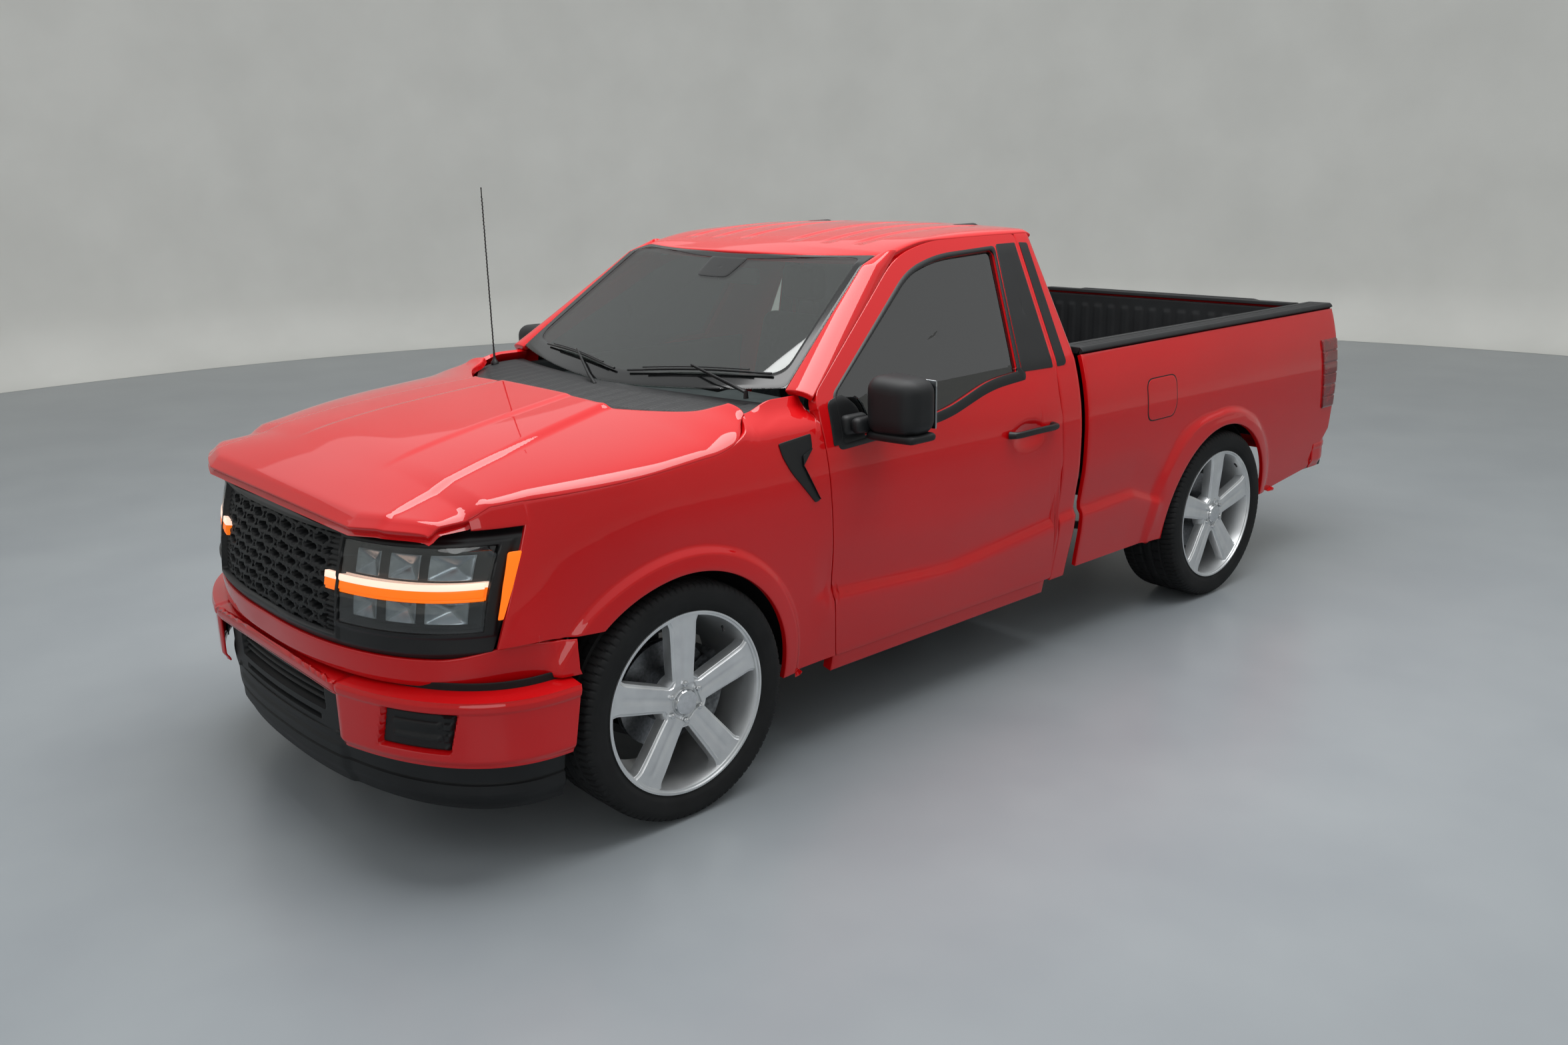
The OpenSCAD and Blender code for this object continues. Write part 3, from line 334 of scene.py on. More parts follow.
def hood_half(y):
    """Half width at the side shut line, drawn in at the cowl."""
    held = np.maximum(y, front_axle - 608)
    return body_x(held, cut_z(held)) - 70 * step(y, -1500, -1362) ** 2


def hood_z(s, y):
    """Hood height: s is 0 at the middle and 1 at the side cut."""
    height = cut_z(y) + (hood_centre(y) - cut_z(y)) * (1 - np.abs(s) ** 3) ** 0.6
    line = np.interp(y, [-2500, -2050, -1600], [655, 560, 425])
    side = np.abs(s) * hood_half(y)
    dome = step(side, line + 34, line - 6)
    middle = step(side, line * 0.52 + 26, line * 0.52 - 14) * step(y, -2360, -2180)
    sunk = 17 * (1 - dome) * (1 - np.abs(s) ** 4) * step(y, -2560, -2420)
    return height - sunk + 5 * middle


def hood_rear(s):
    """The rear edge, level in the middle and swept back to the corners."""
    a = np.abs(s)
    return (hood_mid + 245 * np.clip((a - 0.4) / 0.5, 0, 1) ** 1.3
            - 16 * np.maximum(0, (a - 0.88) / 0.12) ** 2)


def hood_front(s):
    """The front edge, a flattened curve that falls back at the corners."""
    reach = (1 - (785 * np.abs(s) / 930) ** 2.5) ** 0.4
    return np.maximum(nose_start - 445 * reach, nose_y + 112)


s = np.linspace(-1, 1, 221)[None, :]
t = np.linspace(0, 1, 111)[:, None]
y = hood_rear(s) + (hood_front(s) - hood_rear(s)) * t
fall = 20 * step(t, 0.955, 1.0) ** 2
hood_skin = np.stack([s * hood_half(y) + 0 * y, y, hood_z(s, y) - fall], -1)
piece("hood_panel", [panel(hood_skin, 24, (0, 0, 1), 5, straight=True)], paint, "hood",
      ["hood"], crease=75)

# ---- Front fenders -------------------------------------------------------
# Pressed wings, bolted along the engine bay. Each runs from the lamp bezel back to the door
# and up to the hood's shut line, and folds over the shoulder ahead of the windshield.
def mirrored(part):
    """The same part on the other side of the truck."""
    points, faces = part
    return points * [-1, 1, 1], faces[:, ::-1]


def both(parts):
    """Parts and their mirror images."""
    return parts + [mirrored(part) for part in parts]


def outline(corners, counts, arc=7, closed=True):
    """Points of an outline given by corners (a, b, fillet radius). Each corner is a curve of
    `arc` points and each side holds counts[i] points between its corners."""
    corners = np.asarray(corners, float)
    place, fillet = corners[:, :2], corners[:, 2]
    before, after = np.roll(place, 1, 0), np.roll(place, -1, 0)
    back_side, next_side = before - place, after - place
    reach = np.minimum(np.linalg.norm(back_side, axis=1), np.linalg.norm(next_side, axis=1))
    reach = np.minimum(fillet, 0.45 * reach)[:, None] + 0.01
    first, last = place + unit(back_side) * reach, place + unit(next_side) * reach
    if not closed:
        first[0], last[-1] = place[0], place[-1]
    t = np.linspace(0, 1, arc)[:, None]
    points = []
    for i, count in enumerate(counts):
        points.append(first[i] * (1 - t) ** 2 + 2 * place[i] * t * (1 - t) + last[i] * t ** 2)
        if closed or i < len(corners) - 1:
            s = np.linspace(0, 1, count + 2)[1:-1, None]
            points.append(last[i] * (1 - s) + first[(i + 1) % len(corners)] * s)
    return np.concatenate(points)


def between(loops, counts):
    """Grid that runs from each outline to the next one, with counts[i] rows of cells."""
    rows = [loops[0][:, None]]
    for low, high, count in zip(loops, loops[1:], counts):
        t = np.linspace(0, 1, count + 1)[1:, None]
        rows.append(low[:, None] * (1 - t) + high[:, None] * t)
    return np.concatenate(rows, 1)


seam_z = 706


def arch_rings(axle, radii, low_front, low_rear, share):
    """Rings round a wheel opening, up over the top, each from height low_front ahead of the
    axle to low_rear behind it."""
    rings = []
    for radius in radii:
        first = np.pi - np.arcsin((low_front - wheel_z) / np.max(radius))
        last = np.arcsin((low_rear - wheel_z) / np.max(radius))
        angle = first * (1 - share) + last * share
        rings.append(np.stack([axle + radius * np.cos(angle),
                               wheel_z + radius * np.sin(angle)], -1))
    return rings


def fender_part():
    """Loops from the wheel opening out to the panel's border, laid on the side."""
    back = door_front - 6
    hood_y = np.linspace(-2172, -1362, 60)
    rear_y = np.linspace(-1362, back, 30)[1:]
    top = np.concatenate([np.stack([hood_y, cut_z(hood_y) - 6], -1),
                          np.stack([rear_y, 1237 + 26 * step(rear_y, -1362, -1220)], -1)])
    nose = np.stack([np.linspace(-2299, -2174, 24), np.linspace(seam_z, 1040, 24)], -1)
    tail = outline([(back, 1245, 0), (back, 1180, 60), (back + 36, 560, 120),
                    (back + 82, sill_z, 0)], [8, 24, 10, 0], 5, False)
    bottom = np.stack([np.linspace(back + 76, front_axle + arch_r + 60, 10),
                       np.full(10, sill_z)], -1)
    front_low = np.stack([np.linspace(-2180, -2298, 8), np.full(8, seam_z)], -1)
    outer = np.concatenate([front_low, nose, top, tail, bottom])
    share = np.concatenate([np.linspace(0, 0.04, 8), np.linspace(0.05, 0.3, 24),
                            np.linspace(0.31, 0.72, 60), np.linspace(0.725, 0.8, 29),
                            np.linspace(0.805, 0.97, len(tail)), np.linspace(0.974, 1, 10)])
    rings = arch_rings(front_axle, (arch_r, 474, 512), seam_z, sill_z, share)
    shoulder = on_side(between(rings + [outer], [5, 8, 26]))
    y, z = shoulder[..., 1], shoulder[..., 2]
    shoulder[..., 0] -= 76 * step(z, 1160, 1240) ** 2 * step(y, -1500, -1362) ** 2
    return panel(shoulder, 20, (1, 0, 0), 4)


y = np.linspace(-2312, -2168, 30)[:, None]
z = 1042 + (cut_z(y) - 6 - 1042) * np.linspace(0, 1, 8)
over_lamp = panel(on_side(np.stack([y + 0 * z, z], -1)), 16, (1, -0.4, 0), 3)
piece("front_fender_panels", both([fender_part(), over_lamp]), paint, "truck",
      ["front_fenders"])

# ---- Doors ---------------------------------------------------------------
# Each door is one stamped skin with its window frame, hemmed round a deep inner panel that
# carries a grained trim board. The belt drops ahead of the mirror.
window = [(-1012, 1108, 24), (-500, 1140, 90), (-236, 1214, 90), (-60, 1226, 8),
          (-58, 1234, 0), (-55, 1246, 0), (61, 1668, 26), (-270, 1655, 110),
          (-452, 1612, 150), (-1012, 1262, 70), (-1012, 1200, 0), (-1012, 1150, 0)]
frame_line = [(-1046, 1080, 30), (-500, 1102, 90), (-226, 1176, 90), (-20, 1188, 8),
              (-12, 1200, 0), (-6, 1240, 0), (104, 1702, 20), (-270, 1692, 130),
              (-470, 1650, 170), (-1052, 1262, 80), (-1055, 1200, 0), (-1051, 1140, 0)]
mid_line = [(-1042, 600, 0), (-640, 579, 10), (-200, 588, 10), (100, 612, 0), (150, 616, 0),
            (150, 1210, 0), (203, 1710, 14), (-268, 1710, 120), (-483, 1664, 170),
            (-1072, 1262, 60), (-1078, 1180, 0), (-1056, 760, 0)]
door_line = [(-1018, sill_z, 12), (-640, sill_z, 0), (-200, sill_z, 0), (120, sill_z, 0),
             (208, sill_z, 10), (167, 1212, 20), (215, 1716, 22), (-266, 1717, 120),
             (-490, 1672, 170), (-1100, 1268, 50), (-1100, 1180, 60), (-1064, 560, 120)]
sides = [14, 12, 8, 3, 4, 14, 12, 8, 22, 4, 16, 6]
shift = np.array([front_axle + 1710, 0])
loops = [outline(loop, sides) + shift for loop in (window, frame_line, mid_line, door_line)]
door_skin = on_side(between(loops, [5, 34, 12]))
# the hollow behind the handle
hollow = np.hypot((door_skin[..., 1] + 35) / 1.9, door_skin[..., 2] - 985)
door_skin[..., 0] -= 15 * step(hollow, 58, 22)
door_panel = panel(door_skin, 42, (1, 0, 0), 4, wrap=True)
for side, part in (("left", door_panel), ("right", mirrored(door_panel))):
    piece(side + "_door_skin", [part], paint, side + "_door", [side + "_door"])

trim_plastic, tree, shader = finish("moulded_grey_trim_plastic",
                                    {"Roughness": 0.62, "Specular IOR Level": 0.35})
mottle(tree, shader, 60, "#4b4e51", "#54575a")
grain(tree, shader, 1.2, 0.08, "TexVoronoi")
y, z = np.meshgrid(np.linspace(door_front + 60, door_rear - 30, 60), np.linspace(420, 1190, 40),
                   indexing="ij")
armrest = 26 * step(z, 800, 840) * (1 - step(z, 900, 960)) * step(y, -800, -720)
pocket = 14 * step(z, 640, 600) * step(z, 440, 470)
board = np.stack([side_x(z) - 66 - armrest - pocket, y, z], -1)
board_part = panel(board, 22, (-1, 0, 0), 4)
for side, part in (("left", board_part), ("right", mirrored(board_part))):
    piece(side + "_door_trim_board", [part], trim_plastic, side + "_door")

# ---- Cab shell -----------------------------------------------------------
# Roof, pillars and back wall are welded pressings. The roof carries shallow ribs, and the
# pillars roll from the door opening round to the windshield and the back wall.
def roof_line(y):
    """Height of the roof's middle: a parabola, carried on as the windshield's straight slope."""
    flat = roof_z - 83 * ((y - shield_top - 700) / 700) ** 2
    slope = roof_z - 83 + 0.667 * (y - shield_top)
    return np.where(y < shield_top, slope, flat)


def side_top(y):
    """Height of the roof's edge, just over the door."""
    corner = shield_top + 109
    ramp = roof_z - 81 + 45 * np.sin(np.pi / 2 * np.clip((y - corner) / 270, 0, 1))
    return np.where(y < corner, roof_z - 81 + 0.68 * (y - corner), ramp)


def shield(s, t):
    """Windshield face: s runs from -1 to 1 across it and t from the cowl up to the roof."""
    x = s * (824 + (678 - 824) * t)
    low = shield_foot + 8 + 164 * np.abs(s) ** 1.7
    y = low + (shield_top + 4 + 96 * s ** 2 - low) * t
    drop = 84 - 56 * (y - shield_foot) / 660
    z = roof_line(y) - 4 - drop * (x / 860) ** 2
    return np.stack([x, y, z], -1)


across_s = np.linspace(-1, 1, 161)
a = np.abs(across_s)
front_edge = shield_top + 6 + 97 * a ** 2
roof_y = front_edge + (cab_back - 6 - front_edge) * np.linspace(0, 1, 81)[:, None]
edge_z = side_top(roof_y)
crown = (roof_line(roof_y) - edge_z) * (0.5 * (1 - a ** 2) + 0.5 * (1 - a ** 12) ** 0.5)
x = np.sign(across_s) * side_x(edge_z) * a
ribs = sum(5.0 * step(np.abs(np.abs(x) - middle), 34, 20) for middle in (150, 330, 500))
ribs = ribs * step(roof_y, shield_top + 150, shield_top + 260) * (1 - step(roof_y, 190, 260))
rear_fall = 10 * np.clip((roof_y - cab_back + 40) / 40, 0, 1) ** 2
roof_skin = np.stack([x, roof_y, edge_z + crown - ribs - rear_fall], -1)
roof_part = panel(roof_skin, 30, (0, 0, 1), 6, straight=True)

t = np.linspace(0, 1.0, 60)[:, None]
v = np.linspace(0, 1, 14)[None, :]
glass_edge = shield(1.0, t * 0.995)
door_y = door_front - 8 + 636 * t
door_z = np.minimum(1275 + 0.662 * (door_y - door_front), side_top(door_y))
door_edge = np.stack([side_x(door_z), door_y, door_z], -1)
pillar_skin = glass_edge * (1 - v[..., None]) + door_edge * v[..., None]
pillar_skin = pillar_skin + np.array([13, -7, 9]) * (4 * v * (1 - v))[..., None]
pillar_part = panel(pillar_skin, 22, (1, -0.5, 0.6), 4)

# the quarter panel behind the door, from the sill up to the roof
z = np.linspace(sill_z - 10, roof_z - 42, 90)[:, None]
front = np.interp(z, [sill_z, 1212, 1722], [cab_back - 112, cab_back - 151, cab_back - 103])
y = front + (cab_back - front) * np.linspace(0, 1, 16)
x = body_x(y, z) - 26 * np.clip((y - cab_back + 34) / 34, 0, 1) ** 2.4
quarter_part = panel(np.stack([x, y, z + 0 * y], -1), 30, (1, 0, 0), 4)
y = np.linspace(door_front + 90, door_rear + 20, 40)[:, None]
z = sill_z - 14 - 50 * np.linspace(0, 1, 5)
sill_part = panel(np.stack([side_x(z) - 18 + 0 * y, y + 0 * z, z + 0 * y], -1), 40,
                  (1, 0, 0), 6)

window_back = outline([(-690, 1290, 60), (690, 1290, 60), (590, roof_z - 120, 60),
                       (-590, roof_z - 120, 60)], [40, 14, 40, 14])
rim_back = outline([(-925, 520, 30), (925, 520, 30), (700, roof_z - 34, 60),
                    (-700, roof_z - 34, 60)], [40, 14, 40, 14])
grid = between([window_back, rim_back], [24])
x, z = grid[..., 0], grid[..., 1]
x = np.clip(x, -side_x(z) + 14, side_x(z) - 14)
z = np.where(z > 1600, z + 22 * (1 - (x / 760) ** 2) * step(z, 1640, roof_z - 34), z)
back_wall = panel(np.stack([x, cab_back - 8 + 0 * x - 12 * (np.abs(x) / 900) ** 6, z], -1),
                  34, (0, 1, 0), 4, wrap=True)
piece("cab_shell", [roof_part, back_wall] + both([pillar_part, quarter_part, sill_part]),
      paint, "truck", ["cab"])

# ---- Bed sides, fuel door and tailgate -----------------------------------
# The outer bed panels hang on the bed and stop 30 mm behind the cab. A small flush door
# covers the filler. The tailgate is a double skin with a plain pressed field.
bed_low, bed_top = sill_z + 12, 1245.0
rear_low = bed_end + 72


def bedside_part():
    """Loops from the rear wheel opening out to the border of the bed's outer panel."""
    y0, y1 = bed_front, rear_low
    corners = [(rear_axle - 520, bed_low), (y0 + 26, bed_low), (y0 - 2, 640), (y0, bed_top),
               (rear_axle, bed_top), (y1, bed_top), (y1, 640), (y1 - 150, 452),
               (rear_axle + 520, 405)]
    counts = [14, 14, 26, 34, 34, 24, 12, 16]
    shares = [0, 0.05, 0.15, 0.31, 0.5, 0.74, 0.86, 0.93, 1]
    border, turn = [], []
    for low, high, a0, a1, count in zip(corners, corners[1:], shares, shares[1:], counts):
        t = np.linspace(0, 1, count, endpoint=False)
        border.append(np.stack([low[k] + (high[k] - low[k]) * t for k in (0, 1)], -1))
        turn.append(a0 + (a1 - a0) * t)
    border = np.concatenate(border + [np.array([corners[-1]])])
    share = np.concatenate(turn + [[shares[-1]]])
    forward = -np.cos(np.pi * (1 - share))
    wide = 1 + 0.105 * step(-forward, 0.1, 0.75)
    rings = arch_rings(rear_axle, (arch_r, 472 * wide, 514 * wide), bed_low, 405, share)
    return panel(on_side(between(rings + [border], [5, 8, 34])), 20, (1, 0, 0), 4)


piece("bedside_panels", both([bedside_part()]), paint, "truck", ["bedsides"])

fuel_box = np.array(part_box("fuel_door")) * 1000
v = np.linspace(0, 1, 12)
lid = outline([(fuel_box[0, 1], fuel_box[0, 2], 42), (fuel_box[1, 1] - 26, fuel_box[0, 2], 42),
               (fuel_box[1, 1], fuel_box[0, 2] + 44, 30), (fuel_box[1, 1], fuel_box[1, 2], 42),
               (fuel_box[0, 1], fuel_box[1, 2], 42)], [10, 4, 8, 10, 10])
middle = lid.mean(0)
lid_grid = middle + (lid - middle)[:, None] * np.linspace(0.004, 1, 14)[None, :, None]
lid_skin = on_side(lid_grid) + [1.6, 0, 0]
# Painted shade: a near-black ring laid just proud of the body round the lid stands for the shade
# inside the shut gap.
gap_shade_black, tree, shader = finish("painted_gap_shade_black", {"Roughness": 0.8})
mottle(tree, shader, 40, "#060607", "#0b0b0c")
gap_grid = middle + (lid - middle)[:, None] * np.linspace(1.005, 1.06, 4)[None, :, None]
piece("fuel_door_gap_shade", [panel(on_side(gap_grid) + [0.7, 0, 0], 2, (1, 0, 0), 0.3, wrap=True)],
      gap_shade_black)
piece("fuel_door_panel", [panel(lid_skin, 8, (1, 0, 0), 1.5, wrap=True)], paint, "fuel_door",
      ["fuel_door"])

gate_box = np.array(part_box("tailgate")) * 1000
x, z = np.meshgrid(np.linspace(gate_box[0, 0] + 2, gate_box[1, 0] - 2, 110),
                   np.linspace(gate_box[0, 2] + 3, gate_box[1, 2] - 30, 70), indexing="ij")
field = step(np.abs(x), 690, 660) * step(z, 820, 850) * (1 - step(z, 1080, 1110))
cup = step(np.hypot(x / 1.6, z - 1175), 46, 34)
gate = np.stack([x, gate_box[1, 1] - 3 - 6 * field - 22 * cup
                 - 9 * (np.abs(x) / 760) ** 8 + 5 * step(z, 1200, 1235), z], -1)
piece("tailgate_panel", [panel(gate, 44, (0, 1, 0), 4, straight=True)], paint, "tailgate",
      ["tailgate"])

# ---- Windows -------------------------------------------------------------
# Laminated windshield, toughened door and rear panes. They are bonded in, with a black fired
# border round the windshield, rubber seals in the doors and a wider moulding at the belt.
def glazing(name, tint, least):
    """Glass: a tinted see-through part mixed with a dark polished one, more so at the edges."""
    made, tree, shader = finish(name, {"Roughness": 0.015, "IOR": 2.4,
                                          "Specular IOR Level": 1.0})
    mottle(tree, shader, 400, "#040506", "#08090b")
    clear = add(tree, "BsdfTransparent", {"Color": linear(tint)})
    rim = add(tree, "LayerWeight", {"Blend": 0.15})
    amount = add(tree, "MapRange", {"Value": rim.outputs["Facing"], "To Min": least,
                                    "To Max": 0.8})
    mix = add(tree, "MixShader", {0: amount.outputs[0], 1: clear.outputs[0],
                                  2: shader.outputs[0]})
    tree.links.new(mix.outputs[0], tree.nodes["Material Output"].inputs["Surface"])
    return made


def filled(loop, rings=8, centre=None):
    """Grid that fills an outline, from its middle out to its border."""
    middle = loop.mean(0) if centre is None else np.array(centre, float)
    return middle + (loop - middle)[:, None] * np.linspace(0.004, 1, rings)[None, :, None]


clear_glass = glazing("laminated_green_tinted_glass", "#eef4f1", 0.22)
dark_glass = glazing("toughened_privacy_glass", "#7d8486", 0.30)
s, t = np.meshgrid(np.linspace(-0.995, 0.995, 81), np.linspace(0.01, 0.985, 31), indexing="ij")
windshield = panel(shield(s, t), 5, (0, -0.5, 0.8), 1)
piece("windshield_glass", [windshield], clear_glass, "truck", ["cab_glass"])
frit, tree, shader = finish("fired_black_glass_border", {"Roughness": 0.12})
mottle(tree, shader, 80, "#060708", "#0b0c0d")
border = [outline([(-a, b, f), (a, b, f), (a, c, f), (-a, c, f)], [60, 20, 60, 20])
          for a, b, c, f in ((0.994, 0.012, 0.983, 0.02), (0.945, 0.10, 0.945, 0.08))]
ring = between(border, [4])
frit_skin = shield(ring[..., 0], ring[..., 1]) + [0, -0.5, 0.8]
eye = outline([(-0.13, 0.80, 0.02), (0.13, 0.80, 0.02), (0.16, 0.95, 0.01), (-0.16, 0.95, 0.01)],
              [6, 6, 6, 6])
eye_skin = shield(filled(eye)[..., 0], filled(eye)[..., 1]) + [0, -0.6, 1.0]
piece("windshield_black_border", [panel(skin, 0.4, (0, -0.5, 0.8), 0.1, wrap=True)
                                  for skin in (frit_skin, eye_skin)], frit)

rear_glass = filled(outline([(-704, 1278, 60), (704, 1278, 60), (602, roof_z - 110, 60),
                             (-602, roof_z - 110, 60)], [20, 10, 20, 10]))
rear_pane = np.stack([rear_glass[..., 0], cab_back - 20 + 0 * rear_glass[..., 0],
                      rear_glass[..., 1]], -1)
piece("rear_window_glass", [panel(rear_pane, 5, (0, 1, 0), 1, wrap=True)], dark_glass, "truck")

satin_black, tree, shader = finish("satin_black_moulded_plastic",
                                   {"Roughness": 0.42, "Specular IOR Level": 0.45})
mottle(tree, shader, 120, "#0d0e10", "#131416")
grain(tree, shader, 0.8, 0.03)
pane = on_side(filled(loops[0], 10, (-430, 1390))) - [12, 0, 0]
pane_part = panel(pane, 5, (1, 0, 0), 1, wrap=True)
low = step(loops[0][:, 1] - loops[1][:, 1], 14, 24)[:, None]
seal_edge = loops[0] + (loops[1] - loops[0]) * (0.36 + 0.5 * low)
seal = on_side(between([loops[0] - (loops[1] - loops[0]) * 0.06, seal_edge], [5]))
seal[..., 0] += 3.5 * np.sin(np.linspace(0.15, 1, 6) * np.pi)[None, :]
seal_part = panel(seal, 12, (1, 0, 0), 2, wrap=True)


def side_plate(corners, counts, lift, thick=3.0, rings=7):
    """Thin plate that follows the body side over an outline, `lift` mm proud of it."""
    plate = on_side(filled(outline(corners, counts), rings)) + [lift, 0, 0]
    return panel(plate, thick, (1, 0, 0), 1.5, wrap=True)


door_post = side_plate([(-40, 1226, 6), (152, 1222, 4), (200, 1684, 6), (84, 1684, 10)],
                       [8, 20, 6, 20], 2.4)
sail = side_plate([(-1062, 1104, 8), (-915, 1108, 12), (-925, 1210, 30), (-985, 1262, 20),
                   (-1058, 1244, 20)], [8, 8, 8, 8, 8], 3.0, 6)
for side, flip in (("left", lambda part: part), ("right", mirrored)):
    piece(side + "_door_window", [flip(pane_part)], dark_glass, side + "_door",
          [side + "_door_glass"])
    piece(side + "_window_mouldings", [flip(part) for part in (seal_part, door_post, sail)],
          satin_black, side + "_door")
quarter = side_plate([(182, 1222, 4), (240, 1222, 22), (276, 1680, 8), (228, 1684, 4)],
                     [5, 20, 5, 20], 2.4)
piece("quarter_mouldings", both([quarter]), satin_black)

# ---- Cowl, wipers and mast -----------------------------------------------
# A slatted black moulding closes the gap below the windshield. Two pressed steel arms carry
# rubber blades, and the mast is a steel rod wound with a spiral against whistling.
def tube(path, radius, sides=12, squash=1.0):
    """Round bar along a path of points, with a radius at each one, closed at both ends."""
    path = np.asarray(path, float)
    radius = np.broadcast_to(np.asarray(radius, float), len(path))
    ahead = unit(np.gradient(path, axis=0))
    helper = np.array([0, 0, 1.0]) if abs(ahead[:, 2]).max() < 0.9 else np.array([1.0, 0.2, 0])
    side = unit(np.cross(ahead, helper))
    top = np.cross(side, ahead)
    turn = np.linspace(0, 2 * np.pi, sides, endpoint=False)[:, None]
    ring = lambda p, s, t, r: p + (s * np.cos(turn) + t * squash * np.sin(turn)) * r
    rings = np.array([ring(*args) for args in zip(path, side, top, radius)])
    rings = np.concatenate([rings[:1] * 0 + path[0], rings, rings[-1:] * 0 + path[-1]])
    return outward(rings.reshape(-1, 3), grid_faces(*rings.shape[:2], wrap_cols=True))


s, t = np.meshgrid(np.linspace(-1, 1, 420), np.linspace(0, 1, 16), indexing="ij")
foot_y = shield_foot + 4 + 164 * np.abs(s) ** 1.7
front_y = hood_rear(s * 830 / 930) + 14
slats = 3.0 * (np.abs((s * 826 / 15) % 1 - 0.5) < 0.3) * step(t, 0.08, 0.2) * step(t, 0.95, 0.8)
rise = belt_z - 12 + 16 * t ** 2 * (1 - np.abs(s) ** 2) + slats - 14 * (1 - t) ** 3
cowl = panel(np.stack([s * 828, front_y + (foot_y - front_y) * t, rise], -1), 10, (0, 0, 1), 2)
piece("slatted_cowl", [cowl], satin_black, "truck", ["cowl_panel"], crease=60)
wipers = []
for s0, s1, hub in ((0.90, 0.10, 0.86), (0.0, -0.74, 0.02)):
    s = np.linspace(s0, s1, 24)
    blade = shield(s, 0.085 + 0.03 * np.sin(np.linspace(0, np.pi, 24))) + [0, -4, 10]
    wipers.append(tube(blade, 5, 8, 0.8))
    wipers.append(tube(blade[3:-3] + [0, -6, 10], 4, 8, 0.7))
    pivot = shield(np.array([hub]), np.array([-0.04]))[0] + [0, -20, 4]
    middle = blade[12] + [0, -6, 16]
    arm = [pivot + [0, 0, -8], pivot + [0, 0, 14], pivot * 0.75 + middle * 0.25 + [0, -8, 14],
           middle]
    wipers.append(tube(arm, [11, 10, 8, 5], 10, 0.7))
piece("windshield_wipers", wipers, satin_black)
mast_box = np.array(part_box("antenna")) * 1000
mast_x, mast_y = mast_box.mean(0)[:2]
turns = np.linspace(0, 1, 1100)
helix = np.stack([mast_x + 3.1 * np.cos(turns * 2 * np.pi * 42),
                  mast_y + 3.1 * np.sin(turns * 2 * np.pi * 42),
                  1262 + 640 * turns], -1)
mast = [tube([(mast_x, mast_y, z) for z in (1228, 1236, 1244, 1256, 1300, 1600, 1925, 1934)],
             [17, 16, 9, 5, 2.6, 2.4, 2.2, 3.0], 16), tube(helix, 1.1, 5)]
piece("spiral_wound_mast", mast, satin_black, "truck", ["antenna"])

# ---- Nose: grille, lamps, bumper -----------------------------------------
# The grille, its bezels and the air dam are grained black mouldings clipped to the front
# frame. The bumper is a painted pressing with black inserts and an open middle.
def nose_depth(z):
    """How far the nose reaches forward at each height, most at z 640."""
    return nose_start - (nose_y + 38 + 72 * ((z - 640) / 400) ** 2)


def nose_skin(q, z, grow=0.0):
    """Nose face by sweep angle q: 0 at the middle, a quarter turn at the body sides."""
    run = (nose_depth(z) + grow) * np.abs(np.cos(q)) ** 0.8
    width = wall_x(nose_start, z) - 60 * (1 - np.exp(-run / 60)) + grow
    x = width * np.sign(q) * np.abs(np.sin(q)) ** 0.8
    return np.stack([x, nose_start - run, z + 0 * q], -1)


def on_nose(x, z, out=0.0):
    """Points of the nose face at the given x and z, moved `out` mm forward."""
    run = 0.9 * nose_depth(z)
    for _ in range(6):
        width = wall_x(nose_start, z) - 60 * (1 - np.exp(-run / 60))
        run = nose_depth(z) * (1 - np.clip(np.abs(x) / width, 0, 1) ** 2.5) ** 0.4
    return np.stack([x, nose_start - run - out, z + 0 * x], -1)


def mesh_grid(x0, x1, z0, z1, size):
    """Even grid of x and z, about `size` mm apart."""
    return np.meshgrid(np.linspace(x0, x1, int((x1 - x0) / size) + 2),
                       np.linspace(z0, z1, int((z1 - z0) / size) + 2), indexing="ij")


def grille_in(x, z):
    """Distance inside the edge of the grille opening, negative outside."""
    return np.minimum(np.minimum(452 - np.abs(x), z - 706), 1000 - z)


def lamp_in(x, z):
    """Distance inside the edge of a lamp opening, negative outside."""
    return np.minimum(np.minimum(np.abs(x) - 466, 852 - np.abs(x)),
                      np.minimum(z - 748, 990 - z))


z = np.linspace(676, 1036, 91)[None, :]
end_run = nose_start - (-2296 + (z - 700) * 0.40)
q_end = np.arccos(np.clip((end_run / nose_depth(z)), 0, 1) ** 1.25)
q = np.linspace(-1, 1, 381)[:, None] * q_end
bezel = nose_skin(q, z)
x, z = bezel[..., 0], bezel[..., 2]
deep = 58 * step(grille_in(x, z), 0, 9) + 66 * step(lamp_in(x, z), 0, 8)
frame_step = 5 * step(np.maximum(grille_in(x, z), lamp_in(x, z)), -16, -10)
chamfer = 16 * step(z, 1008, 1036) + 8 * step(z, 692, 676)
along_q, along_z = slopes(bezel)
face = unit(np.cross(along_q, along_z))
face = face * np.sign(np.sum(face[..., 1] * -1))
bezel = bezel - face * (deep - frame_step + chamfer)[..., None]
bezel[..., 1] = np.maximum(bezel[..., 1], front_limit)
surround = panel(bezel, 12, (0, -1, 0), 3)

